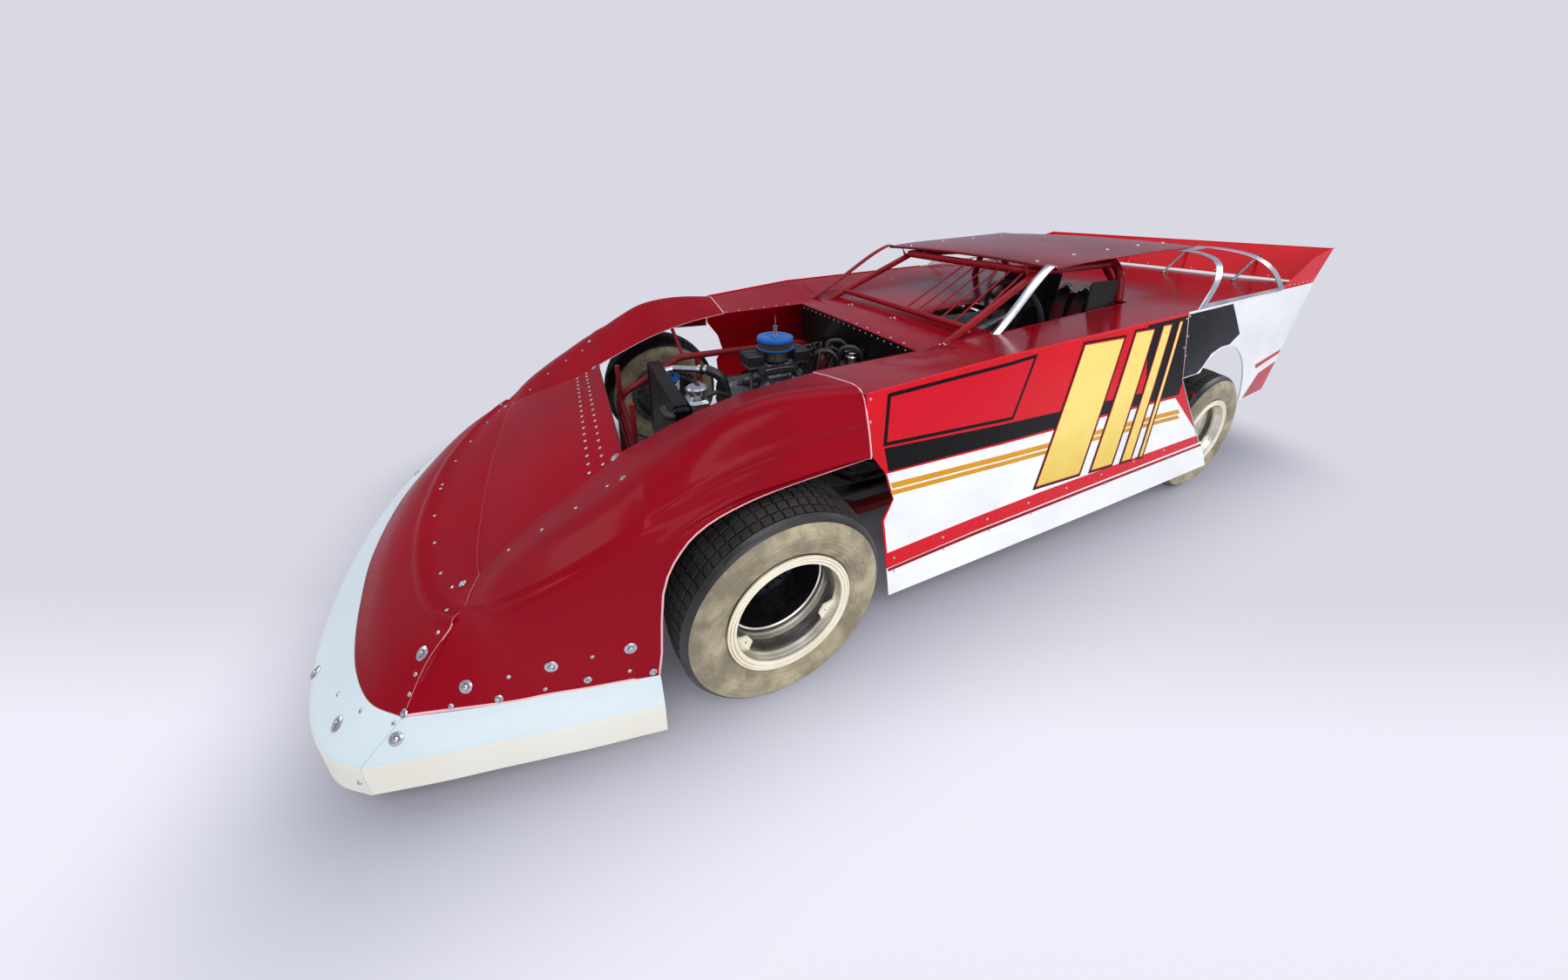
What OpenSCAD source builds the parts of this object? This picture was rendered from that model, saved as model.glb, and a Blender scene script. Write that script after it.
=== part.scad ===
// Dirt oval racing car with a wedge nose, a flat sheet metal body and an open engine bay.
// X points forward, Y to the left and Z up. The origin is on the ground at mid length.

/* [Overall] */
// Length from the nose tip to the spoiler edge
car_len = 5220; // [5120:10:5320]
// Distance between the axles
wheelbase = 2616; // [2560:2:2660]
// Nose tip ahead of the front axle
nose_len = 1387; // [1380:1:1450]

/* [Wheels] */
// Outer radius of the tyres
tyre_r = 355; // [345:1:362]
// Width of the tyres
tyre_w = 370; // [350:2:376]
// Radius of the rim flange
rim_r = 208; // [200:1:215]
// Width of the rim over its flanges
rim_w = 356; // [340:2:360]
// Distance from the rim's inner edge to its disc
rim_back = 102; // [90:2:120]
// Front wheel centre from the middle of the car
track_f = 915; // [905:1:925]
// Rear wheel centre from the middle of the car
track_r = 845; // [835:1:855]
// Clearance between the hub and its spindle
hub_gap = 0.3; // [0.2:0.1:0.6]

/* [Steering] */
// Kingpin distance from the middle of the car
kingpin_y = 757; // [750:1:764]
// Length of the steering arm behind the kingpin
steer_arm = 105; // [100:1:112]
// Diameter of the steering wheel
wheel_d = 380; // [340:5:400]
// Slope of the steering column
column_tilt = 20; // [18:1:22]

/* [Sheets] */
// Thickness of the moulded nose pieces
plastic_t = 6; // [4:0.5:8]
// Thickness of the body sheets
sheet_t = 4; // [2:0.5:5]
// Gap between neighbouring sheets
seam = 0.5; // [0.3:0.1:0.8]

/* [Frame] */
// Diameter of the cage tubes
cage_d = 46; // [44:1:48]
// Diameter of the light brace tubes
brace_d = 32; // [25:1:34]
// Diameter of the windscreen rods
rod_d = 10; // [8:1:12]
// Width of the square main rails
rail_w = 50; // [44:1:54]
// Height of the underside of the main rails
rail_z = 150; // [140:5:160]
// Radius of the hole for the tow pin
tow_r = 13; // [10:0.5:16]
// Main rails from the middle of the car
rail_y = 560; // [550:2:566]

/* [Body] */
// Height of the spoiler edge
spoiler_z = 1330; // [1310:5:1350]
// Width of the spoiler
spoiler_w = 1810; // [1780:10:1820]
// Height of the roof at its front edge
roof_front_z = 1278; // [1268:2:1290]
// Height of the roof at its rear edge
roof_rear_z = 1352; // [1340:2:1364]
// Width of the roof
roof_w = 1250; // [1230:10:1270]
// Lowest edge of the valance
valance_z = 95; // [85:5:110]

/* [Engine] */
// Length of the engine block
block_len = 560; // [540:10:580]
// Angle of each cylinder bank from upright
bank_angle = 45; // [42:1:48]
// Diameter of the air cleaner
cleaner_d = 190; // [170:5:210]
// Diameter of the exhaust primaries
primary_d = 44; // [38:1:46]

/* [Hidden] */
$fn = 32;
// Shares of a bar's diameter: its lap into a bend, and the reach of a bend
lap = 0.06;
bend = 1.2;
tube_lap = 0.22;
tube_sides = 12;

// Axle lines and ends
ax_f = car_len / 2 - nose_len;
ax_r = ax_f - wheelbase;
tail_x = -car_len / 2;
axle_z = tyre_r;
rail_top = rail_z + rail_w;

// Lines across the body that several pieces share
fender_end = ax_f - 353;
hood_rear = ax_f - 893;
hood_y = 555;
deck_split = ax_r + 893;
door_end = ax_r + 393;
tail_deck = tail_x + 120;
cockpit_front = deck_split + (hood_rear - deck_split) * 40 / 83;
cockpit_rear = ax_r + 253;
cockpit_in = 110;
cockpit_out = 600;
// Step of the side sheets, where the door meets the quarter panel
side_step = 744;

// Straight line through a table of [x, value] pairs, in falling x
function along(t, x, k = 1) =
  let (i = [for (n = [0 : len(t) - 2]) if (x >= t[n + 1][0]) n],
       n = len(i) > 0 ? i[0] : len(t) - 2,
       s = (t[n][0] - x) / (t[n][0] - t[n + 1][0]))
  t[n][k] + s * (t[n + 1][k] - t[n][k]);

// Point with its Y turned round
function flip(p) = [p.x, -p.y, p.z];

// Outward normal of a grid of points at row i, column j
function grid_n(g, i, j) =
  let (r = len(g) - 1, c = len(g[0]) - 1,
       a = g[min(i + 1, r)][j] - g[max(i - 1, 0)][j],
       b = g[i][min(j + 1, c)] - g[i][max(j - 1, 0)],
       n = cross(a, b))
  n / norm(n);

// Closed sheet under a grid of points, t thick and raised by lift
module skin(g, t, lift = 0) {
  r = len(g);
  c = len(g[0]);
  n = r * c;
  top = [for (i = [0 : r - 1], j = [0 : c - 1]) g[i][j] + lift * grid_n(g, i, j)];
  low = [for (i = [0 : r - 1], j = [0 : c - 1]) g[i][j] - t * grid_n(g, i, j)];
  cells = [for (i = [0 : r - 2], j = [0 : c - 2])
    [i * c + j, i * c + j + 1, (i + 1) * c + j + 1, (i + 1) * c + j]];
  edge = concat(
    [for (j = [0 : c - 2]) [j, j + 1]],
    [for (i = [0 : r - 2]) [i * c + c - 1, (i + 1) * c + c - 1]],
    [for (j = [c - 2 : -1 : 0]) [(r - 1) * c + j + 1, (r - 1) * c + j]],
    [for (i = [r - 2 : -1 : 0]) [(i + 1) * c, i * c]]);
  faces = concat(
    [for (q = cells) [q[0], q[1], q[2]]],
    [for (q = cells) [q[0], q[2], q[3]]],
    [for (q = cells) [q[2] + n, q[1] + n, q[0] + n]],
    [for (q = cells) [q[3] + n, q[2] + n, q[0] + n]],
    [for (e = edge) [e[1], e[0], e[0] + n]],
    [for (e = edge) [e[1], e[0] + n, e[1] + n]]);
  polyhedron(concat(top, low), faces, convexity = 6);
}

// Bar from a to b
module bar(a, b, d, sides = 32) {
  v = b - a;
  h = norm(v);
  translate(a)
    rotate([0, acos(v.z / h), atan2(v.y, v.x)])
      cylinder(d = d, h = h, $fn = sides);
}

function unit(v) = v / norm(v);
// Angle that a run turns through at point i
function turn(p, i) = acos(min(1, unit(p[i] - p[i - 1]) * unit(p[i + 1] - p[i])));
// Points of a run with each sharp bend cut into two
function eased(p, r) = let (n = len(p) - 1) [
  p[0],
  for (i = [1 : 1 : n - 1]) each turn(p, i) < 50 ? [p[i]] :
    [p[i] + r * unit(p[i - 1] - p[i]), p[i] + r * unit(p[i + 1] - p[i])],
  p[n]];

// Bars through a list of points, with a round knuckle at each bend
module run(p, d) {
  q = eased(p, bend * d);
  n = len(q) - 1;
  back = [for (i = [0 : n]) i == 0 || i == n ? 0 : d * (tan(turn(q, i) / 2) / 2 + lap)];
  for (i = [0 : n - 1]) {
    u = unit(q[i + 1] - q[i]);
    bar(q[i] + back[i] * u, q[i + 1] - back[i + 1] * u, d);
  }
  for (i = [1 : 1 : n - 1])
    translate(q[i]) sphere(r = norm([d / 2, back[i]]) + lap * d / 3);
}

// Twelve-sided tubes through a list of points, lapped at the bends. Every second
// tube is a little thinner, so that no two flat sides lie in one plane.
module tubes(p, d) {
  q = eased(p, bend * d);
  n = len(q) - 1;
  for (i = [0 : n - 1]) {
    u = unit(q[i + 1] - q[i]);
    bar(q[i] - (i > 0 ? tube_lap * d : 0) * u, q[i + 1] + (i < n - 1 ? tube_lap * d : 0) * u,
      d - i % 2, tube_sides);
  }
}

// The same thing on both sides of the car
module both() {
  children();
  mirror([0, 1, 0]) children();
}

// Block between two corners
module block(a, b) {
  translate(a) cube(b - a);
}

// Height and place of the body's top edge, as [x, z, y] from front to back
TOP_LINE = [
  [fender_end, 945, 905],
  [hood_rear - 80, 1010, 938],
  [ax_r + 143, 1075, 938],
  [tail_deck, 1120, 915]
];
// How far the deck lies below the top edge, as [x, drop]
DECK_DROP = [
  [fender_end, 40], [hood_rear, 78], [cockpit_front, 60], [cockpit_rear, 30], [tail_deck, 15]
];
// Line between the side panel and its skirt, as [x, z, y]
STRIP_LINE = [
  [fender_end, 252, 988], [hood_rear, 286, 1000], [deck_split, 337, 1040], [ax_r + 173, 381, 1076]
];
// Lower edge of the skirt, as [x, z, y]
SKIRT_LINE = [
  [fender_end, 137, 1001], [hood_rear, 161, 1028], [deck_split, 198, 1068], [ax_r + 103, 234, 1100]
];

function top_z(x) = along(TOP_LINE, x, 1);
function top_y(x) = along(TOP_LINE, x, 2);
function deck_z(x) = top_z(x) - along(DECK_DROP, x);

// Fender sections from back to front. Columns are the distance ahead of the axle, then
// [y, z] of the inner edge, shoulder, crown, mid crease, lower crease and lower edge.
FENDER = [
  [-353, [555, 905], [720, 938], [868, 952], [922, 862], [957, 752], [950, 733]],
  [-173, [548, 880], [710, 930], [855, 966], [928, 856], [972, 757], [966, 733]],
  [-22, [532, 850], [700, 915], [850, 960], [937, 844], [985, 757], [982, 734]],
  [107, [522, 812], [690, 880], [850, 932], [945, 826], [992, 752], [995, 726]],
  [227, [512, 765], [680, 830], [848, 872], [952, 795], [996, 725], [1004, 696]],
  [307, [506, 730], [675, 787], [843, 823], [956, 766], [998, 696], [1014, 640]],
  [364, [502, 706], [670, 763], [838, 797], [957, 748], [997, 675], [1026, 530]],
  [396, [500, 690], [668, 741], [834, 775], [958, 735], [996, 663], [1040, 262]],
  [467, [515, 650], [675, 695], [828, 733], [955, 700], [990, 628], [1030, 272]],
  [577, [545, 600], [680, 640], [812, 668], [932, 640], [974, 585], [1008, 278]],
  [677, [585, 560], [690, 588], [795, 608], [900, 585], [948, 546], [985, 283]],
  [777, [630, 515], [705, 530], [785, 540], [850, 525], [900, 495], [965, 287]]
];
// Front end of the fender, as [ahead of the axle, y, z] in the same columns
FENDER_TIP = [
  [840, 670, 479], [846, 700, 475], [854, 735, 469], [866, 762, 461], [886, 790, 448], [1009, 898, 291]
];
// Nose sections from the middle of the car to the fender. Columns are the lower edge,
// the ridge and the rear edge, each as [ahead of the axle, y, z].
NOSE = [
  [[1277, 0, 290], [1093, 0, 412], [887, 0, 466]],
  [[1269, 200, 290], [1087, 190, 412], [885, 180, 466]],
  [[1242, 380, 290], [1065, 360, 412], [877, 360, 468]],
  [[1205, 560, 290], [1029, 520, 415], [866, 520, 472]],
  [[1162, 700, 290], [982, 655, 422], [855, 610, 475]],
  [[1099, 818, 290], [937, 735, 435], [847, 650, 477]],
  [[1012, 897, 290], [888, 790, 447], [842, 670, 478]]
];
// Valance from the middle of the nose to its rear end. Columns are [ahead of the axle, y]
// of the outer face, then the inner edge as [ahead of the axle, y, z].
VALANCE = [
  [[1387, 0], [1277, 0, 290]],
  [[1381, 200], [1269, 200, 290]],
  [[1359, 400], [1242, 380, 290]],
  [[1322, 580], [1205, 560, 290]],
  [[1272, 730], [1162, 700, 290]],
  [[1202, 848], [1099, 818, 290]],
  [[1112, 920], [1012, 897, 290]],
  [[960, 960], [895, 934, 288]],
  [[827, 990], [777, 965, 287]],
  [[690, 1022], [677, 985, 283]],
  [[577, 1048], [577, 1008, 278]],
  [[467, 1070], [467, 1030, 272]],
  [[396, 1085], [396, 1040, 262]]
];
valance_corner = 6;
valance_face = 105;
nose_bulge = [8, 0, 12];

// Place of a table point in the car
function ahead(p) = [ax_f + p[0], p[1], p[2]];

function fender_grid() = concat(
  [for (s = FENDER) [for (k = [1 : 6]) [ax_f + s[0], s[k][0], s[k][1]]]],
  [[for (p = FENDER_TIP) ahead(p)]]);

function nose_side(s) = let (e = ahead(s[0]), r = ahead(s[1]), b = ahead(s[2]))
  [e, (e + r) / 2 + nose_bulge, r, b];
function nose_grid() = let (n = len(NOSE) - 1) concat(
  [for (k = [n : -1 : 1]) [for (p = nose_side(NOSE[k])) flip(p)]],
  [for (k = [0 : n]) nose_side(NOSE[k])]);

function valance_row(s) =
  let (o = [ax_f + s[0][0], s[0][1], valance_z],
       i = ahead(s[1]),
       t = o + [0, 0, valance_face],
       u = (t - i) / norm(t - i))
  [o, t, i + 3 * seam * u];

// Panel between the fenders from the nose cover to the engine opening
PANEL_RISE = [10, 12, 10, 8, 2, -12];
// How far the front edge of the panel bows forward
panel_bow = 45;
function panel_row(k) =
  let (last = k == 5,
       row = FENDER[7 + k],
       p = last ? ahead(FENDER_TIP[0]) : ahead([row[0], row[1][0], row[1][1]]))
  [for (s = [-1 : 0.25 : 1])
    [p.x + (last ? panel_bow * (1 - s * s) - seam : 0), (p.y - seam) * s,
     p.z + PANEL_RISE[k] * (1 - s * s)]];

function deck_grid(xs) = [for (x = xs)
  [for (s = [-1, 1]) for (k = s < 0 ? [0, 1, 2] : [1, 0])
    k == 0 ? [x, s * (top_y(x) - sheet_t - seam - 0.3), top_z(x)] :
    k == 1 ? [x, s * hood_y, deck_z(x)] : [x, 0, deck_z(x) + 4]]];

function side_grid(xs, low, high, shift = 0) = [for (x = xs)
  [[x, along(low, x, 2), along(low, x, 1) + seam], [x, along(high, x, 2), along(high, x, 1) - shift]]];

function panel_grid() = [for (k = [0 : 5]) panel_row(k)];

module nose_cover() {
  color("#a01420") skin(nose_grid(), plastic_t);
}
module nose_panel() {
  color("#a81622") skin(panel_grid(), sheet_t);
}
module fender() {
  skin(fender_grid(), plastic_t);
}
module fender_left() {
  color("#a01420") fender();
}
module fender_right() {
  color("#a01420") mirror([0, 1, 0]) fender();
}
module valance() {
  n = valance_corner;
  color("#dfe8ea") {
    skin(concat(
      [for (k = [n : -1 : 1]) [for (p = valance_row(VALANCE[k])) flip(p)]],
      [for (k = [0 : n]) valance_row(VALANCE[k])]), plastic_t);
    both()
      translate([-seam * 2, 0, 0])
        skin([for (k = [n : len(VALANCE) - 1]) valance_row(VALANCE[k])], plastic_t);
  }
}
module cockpit_hole() {
  block([cockpit_rear, cockpit_in, 0], [cockpit_front, cockpit_out, 2000]);
}
front_deck_x = [deck_split + seam, cockpit_front, hood_rear - 80, hood_rear, fender_end - 4 * seam];
module front_deck() {
  color("#c01824") difference() {
    skin(deck_grid(front_deck_x), sheet_t);
    block([hood_rear, 8 - hood_y, 0], [ax_f, hood_y - 8, 2000]);
    cockpit_hole();
    cage_legs(leg_d + 2 * seam);
  }
}
rear_deck_x = [tail_deck + 6, ax_r + 143, cockpit_rear, deck_split];
module rear_deck() {
  color("#c01824") difference() {
    skin(deck_grid(rear_deck_x), sheet_t);
    cockpit_hole();
    cage_hoop(cage_d + 2 * seam);
    cage_braces(leg_d + 2 * seam);
  }
}
// Side view of the door's front edge, with its steps along the fender
DOOR_FRONT = [
  [fender_end - 90, 0], [ax_f - 463, 142], [ax_f - 424, 467], [ax_f - 470, 539],
  [ax_f - 433, 651], [ax_f - 373, 732], [fender_end - seam, 760], [fender_end - seam, 1200],
  [ax_f, 1200], [ax_f, 0]
];
// Cut through the left side of the body, with its outline in X and Z
module side_cut(p) {
  translate([0, 1400, 0]) rotate([90, 0, 0]) linear_extrude(height = 800) polygon(p);
}
side_x = [fender_end, hood_rear - 80, deck_split, door_end, ax_r + 193];
module door() {
  difference() {
    skin(side_grid(side_x, STRIP_LINE, TOP_LINE, -3), sheet_t);
    side_cut(DOOR_FRONT);
    side_cut([[door_end + seam, side_step], [ax_r + 193, 381], [ax_r + 100, 381], [ax_r + 100, 1300],
      [door_end + seam, 1300]]);
  }
}
module doors() {
  color("#c21522") both() door();
}
module rocker_skirts() {
  color("#e8eae6") both() difference() {
    skin([for (x = [fender_end, hood_rear, deck_split, ax_r + 173])
      [[x == ax_r + 173 ? ax_r + 103 : x, along(SKIRT_LINE, x, 2), along(SKIRT_LINE, x, 1)],
       [x, along(STRIP_LINE, x, 2), along(STRIP_LINE, x, 1) - seam]]], sheet_t);
    side_cut(DOOR_FRONT);
  }
}
// Lower edge of the quarter panel, as [x, y] at quarter_z
QUARTER_LOW = [
  [door_end, 1046], [ax_r + 143, 1021], [ax_r - 60, 1000], [ax_r - 507, 968], [tail_deck, 930]
];
quarter_z = 461;
// Lower edge of the tail panel
tail_low = 714;
arch_r = 400;
module quarter() {
  difference() {
    skin([for (q = QUARTER_LOW)
      [[q[0], q[1], quarter_z], [q[0], top_y(q[0]), top_z(q[0]) + 3]]], sheet_t);
    translate([ax_r - 60, 1400, arch_r + 50]) rotate([90, 0, 0]) cylinder(r = arch_r, h = 800, $fn = 64);
    side_cut([[ax_r - 60, 0], [ax_r - 60, side_step - 44], [ax_r + 180, side_step],
      [ax_f, side_step], [ax_f, 0]]);
    side_cut([[tail_deck - 100, 0], [tail_deck + 270, 0], [tail_deck + 270, 480],
      [tail_deck + 156, tail_low],
      [tail_deck + 10, 1080], [tail_deck - 100, 1080]]);
  }
}
module quarters() {
  color("#ece9e8") both() quarter();
}
module tail_panel() {
  color("#b81824") skin([for (s = [-1, 1])
    [[tail_deck + 8, s * 900, top_z(tail_deck) - 24], [tail_deck + 152, s * 930, tail_low]]], sheet_t);
}

roof_front = deck_split + 90;
roof_rear = ax_r - 267;
function roof_z(x) =
  roof_front_z + (roof_rear_z - roof_front_z) * (roof_front - x) / (roof_front - roof_rear);
function roof_grid() = [for (u = [1 : -0.25 : 0]) let (x = roof_front + u * (roof_rear - roof_front))
  [for (s = [-1 : 0.25 : 1])
    [x, s * roof_w / 2, roof_z(x) + 18 * (1 - s * s) - 14 * pow(abs(2 * u - 1), 6)]]];
module roof() {
  color("#8c1420") skin(roof_grid(), sheet_t);
}
// Sail panel from the roof to the body. Columns are y, share of the drop, front x, rear x.
SAIL = [
  [roof_w / 2 + 1, 0.045, ax_r - 7, roof_rear],
  [745, 0.07, ax_r + 3, roof_rear - 30],
  [850, 0.2, ax_r + 63, roof_rear - 100],
  [912, 0.52, ax_r + 173, roof_rear - 220],
  [938, 1, ax_r + 308, roof_rear - 360]
];
sail_strip = 58;
function sail_at(v, side) =
  let (n = min(floor(v), 3), f = v - n, a = SAIL[n] + f * (SAIL[n + 1] - SAIL[n]),
       d = side < 0 ? a[2] - (side == -2 ? sail_strip : 0) : a[3] + (side == 2 ? sail_strip : 0))
  [d, v == 4 ? top_y(d) : a[0], roof_z(d) + a[1] * (top_z(d) + 4 - roof_z(d))];
module sails() {
  color("#e6e6ea") both() difference() {
    skin([for (v = [0 : 4]) [for (s = [-1, 1]) sail_at(v, s)]], sheet_t);
    skin([for (v = [0.4, 1, 2, 3, 3.8]) [for (s = [-2, 2]) sail_at(v, s)]], 25, 25);
  }
}
module spoiler() {
  color("#b81824") {
    skin([for (s = [-1, 1]) [
      [tail_deck - 4, s * spoiler_w / 2, top_z(tail_deck) + 6],
      [tail_x + 32, s * spoiler_w / 2, spoiler_z - 45],
      [tail_x + 3, s * spoiler_w / 2, spoiler_z]]], sheet_t);
    both() translate([0, spoiler_w / 2 + 4, 0]) rotate([90, 0, 0]) linear_extrude(height = 4)
      polygon([[tail_deck + 420, top_z(tail_deck + 420) + 5], [tail_deck - 4, top_z(tail_deck) + 5],
        [tail_x, spoiler_z], [tail_deck + 100, spoiler_z - 50]]);
  }
}
// Front post from its foot on the deck up to the roof, bowed forward
post_y = [578, 622];
post_t = 6;
module post(foot) {
  low = deck_z(foot) - 4;
  rise = roof_z(roof_front) + 2 - low;
  difference() {
    skin([for (u = [0 : 0.25 : 1])
      let (x = foot + (roof_front - foot) * u,
           z = low + rise * u * (1 - pow(1 - u, 1.6) + (1 - u) * 0.75))
      [[x, post_y[0], z], [x, post_y[1], z]]], post_t);
    skin(deck_grid(front_deck_x), 80, seam);
    skin(roof_grid(), sheet_t + seam, 80);
  }
}
module front_posts() {
  color("#d8d8dc") {
    post(cockpit_front + 20);
    mirror([0, 1, 0]) post(cockpit_front + 350);
  }
}

// Places of the cage and frame tubes
leg_x = hood_rear - 60;
hoop_x = ax_r + 203;
halo_y = 480;
halo_z = roof_front_z - 46;
hoop_z = roof_rear_z - 92;
clip_y = 335;
clip_z = 190;
upper_y = 430;
upper_z = 700;
clip_end = ax_f + 317;
clip_start = ax_f - 411;
rail_end = ax_f - 603;
link_x = ax_r + 533;
upright_x = [ax_f - 143, ax_f + 127];
kick_z = 520;
cradle_x = [ax_r - 457, ax_r - 757];
cradle_z = 348;
tail_rail = ax_r - 887;
bumper_x = tail_rail - 140;
tow_z = kick_z - 24;
leg_d = cage_d - 8;
rail_d = cage_d - 2;
bumper_d = cage_d + 4;

leg_bend = [leg_x - 10, 545, 880];
halo_corner = [deck_split + 70, halo_y, halo_z];
halo_end = [hoop_x, 438, hoop_z - 25];
leg_top = [deck_split, halo_y - 4, halo_z];
dash = leg_bend + 0.32 * (leg_top - leg_bend);
cross_z = 800;
door_bar_z = [360, 500, 640];
rod_pitch = 88;
module cage_legs(d) {
  both() tubes([[leg_x, rail_y, rail_top], leg_bend, leg_top], d);
}
module cage_hoop(d) {
  side = [[hoop_x, rail_y, rail_top], [hoop_x, 545, 900], [hoop_x, 500, hoop_z - 82], [hoop_x, 440, hoop_z]];
  tubes(concat(side, [for (k = [3 : -1 : 0]) flip(side[k])]), d);
}
module cage_braces(d) {
  both() bar([hoop_x, 370, hoop_z], [tail_rail + 200, 411, kick_z - 16], d, tube_sides);
}
// Tubes that the straight bars of the cage are welded to
module cage_front() {
  cage_legs(leg_d);
  tubes([halo_end, halo_corner, flip(halo_corner), flip(halo_end)], cage_d - 4);
  bar(flip(dash), dash, brace_d, tube_sides);
}
module roll_cage() {
  color("#8e1820") difference() {
    union() {
      cage_hoop(cage_d);
      cage_braces(leg_d);
      cage_front();
      bar([leg_x - 9, -546, cross_z + 20], [leg_x - 9, 546, cross_z + 20], brace_d, tube_sides);
      bar([hoop_x, -547, cross_z], [hoop_x, 547, cross_z], leg_d, tube_sides);
    }
    rail_over_axle();
    block([-car_len, -700, 0], [car_len, 700, rail_top]);
  }
}
// Door bars on both sides, and the rods in front of the driver
module cage_bars() {
  color("#8e1820") difference() {
    union() {
      both()
        for (z = door_bar_z)
          let (y = rail_y - 0.022 * (z - rail_top))
            bar([leg_x - 2 - z / 200, y, z], [hoop_x, y, z], brace_d, tube_sides);
      for (y = [80 : rod_pitch : 520])
        bar([dash.x, y, dash.z], [halo_corner.x, y * 0.86, halo_z], rod_d, tube_sides);
    }
    cage_front();
    cage_hoop(cage_d);
  }
}
// Rear rails over the axle, as [x, y, z]
REAR_RAIL = [[ax_r - 167, 440, kick_z], [tail_rail, 400, kick_z - 30]];
module rail_over_axle() {
  both() bar(REAR_RAIL[0], REAR_RAIL[1], rail_d, tube_sides);
}
// Main rails with their crossmembers
module ladder() {
  both() block([hoop_x - 40, rail_y - rail_w / 2, rail_z], [rail_end, rail_y + rail_w / 2, rail_top]);
  for (x = [leg_x - 20, deck_split + 200, hoop_x - 35])
    block([x - 20, -rail_y, rail_z + 5], [x + 20, rail_y, rail_top - 5]);
}
module frame() {
  color("#6e1a1e") {
    ladder();
    both()
      block([link_x - 45, rail_y + rail_w / 2 - 5, rail_z], [link_x + 5, rail_y + rail_w / 2 + 12, 480]);
  }
}
module bumper_bars() {
  for (z = [kick_z - 30, kick_z + 120])
    bar([bumper_x, -560, z], [bumper_x, 560, z], bumper_d, tube_sides);
  both() bar([bumper_x, 530, kick_z - 30], [bumper_x, 530, kick_z + 120], brace_d, tube_sides);
}
module rear_bumper() {
  color("#6e1a1e") {
    bumper_bars();
    difference() {
      block([bumper_x - 76, -38, tow_z - 16], [bumper_x - 12, 38, tow_z]);
      translate([bumper_x - 50, 0, tow_z - 20]) cylinder(r = tow_r, h = 24);
    }
  }
}
module rear_clip() {
  color("#6e1a1e") difference() {
    union() {
      both()
        tubes([[hoop_x - 33, 470, rail_top - 10], [ax_r + 103, 460, kick_z], REAR_RAIL[0], REAR_RAIL[1],
          [bumper_x, 400, kick_z - 30]], rail_d);
      for (x = cradle_x) let (y = along(REAR_RAIL, x, 1), z = along(REAR_RAIL, x, 2))
        tubes([[x, y, z], [x, y, cradle_z], [x, -y, cradle_z], [x, -y, z]], brace_d);
    }
    bumper_bars();
    block([hoop_x - 90, -600, 0], [hoop_x + 40, 600, rail_top - 5]);
  }
}
// Straight front rails, and uprights that carry the front arms
module clip_bars() {
  both() {
    bar([clip_start, clip_y, clip_z - 10], [clip_end, clip_y, clip_z], rail_d, tube_sides);
    bar([upright_x[0], clip_y, clip_z - 5], [upright_x[0], upper_y, upper_z], brace_d, tube_sides);
    bar([upright_x[1], clip_y, clip_z - 3], [upright_x[1], 385, 634], brace_d, tube_sides);
  }
}
module clip_tubes() {
  both() {
    tubes([[rail_end - 20, rail_y - 10, rail_z + 25], [clip_start, clip_y, clip_z - 10],
      [clip_end, clip_y, clip_z], [ax_f + 1077, 300, 262]], rail_d);
    tubes([[leg_x + 70, rail_y, rail_top - 10], [leg_x + 70, upper_y, upper_z],
      [ax_f - 43, upper_y, upper_z],
      [clip_end, clip_y, 560], [clip_end, clip_y, clip_z]], leg_d);
    bar([upright_x[0], clip_y, clip_z - 5], [upright_x[0], upper_y, upper_z], brace_d, tube_sides);
    bar([upright_x[1], clip_y, clip_z - 3], [upright_x[1], 385, 634], brace_d, tube_sides);
  }
  bar([upright_x[1], -346, 308], [upright_x[1], 346, 308], brace_d - 6, tube_sides);
  bar([clip_end, -clip_y, 450], [clip_end, clip_y, 450], brace_d, tube_sides);
  bar([ax_f + 1070, -420, 262], [ax_f + 1070, 420, 262], brace_d, tube_sides);
}
module front_clip() {
  color("#6e1a1e") difference() {
    clip_tubes();
    ladder();
  }
}

// Engine, with its crankshaft along the car
crank_z = 310;
block_front = ax_f - 193;
block_rear = block_front - block_len;
carb_x = block_front - 250;
module lengthways(x0, x1) {
  translate([x0, 0, 0]) rotate([90, 0, 90]) linear_extrude(height = x1 - x0) children();
}
module engine() {
  color("#5a5c60") {
    lengthways(block_rear, block_front) translate([0, crank_z]) {
      for (s = [-1, 1])
        rotate(s * bank_angle) translate([-95, 0]) square([190, 240]);
      translate([-150, -120]) square([300, 160]);
      translate([-110, 100]) square([220, 200]);
    }
    for (s = [-1, 1])
      lengthways(block_rear + 12, block_front - 12) translate([0, crank_z]) rotate(s * bank_angle) {
        translate([-105, 239]) square([210, 95]);
        translate([-75, 333]) square([150, 55]);
      }
    block([block_rear + 60, -170, crank_z - 170], [block_front - 60, 170, crank_z - 110]);
    block([block_front - 1, -clip_y + 40, crank_z - 90], [block_front + 9, clip_y - 40, crank_z + 90]);
    bar([block_front, 0, crank_z], [block_front + 48, 0, crank_z], 180);
    bar([block_front, 0, crank_z + 190], [block_front + 70, 0, crank_z + 190], 130);
    block([carb_x - 70, -75, crank_z + 290], [carb_x + 70, 75, crank_z + 400]);
    block([carb_x - 115, -50, crank_z + 400], [carb_x + 115, 50, crank_z + 470]);
    bar([carb_x, 0, crank_z + 465], [carb_x, 0, crank_z + 520], 128);
  }
}
module air_cleaner() {
  color("#1d5f9c") translate([carb_x, 0, crank_z + 520.3]) {
    cylinder(d = cleaner_d, h = 70);
    cylinder(d = 20, h = 86);
  }
}
port_pitch = 120;
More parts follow.
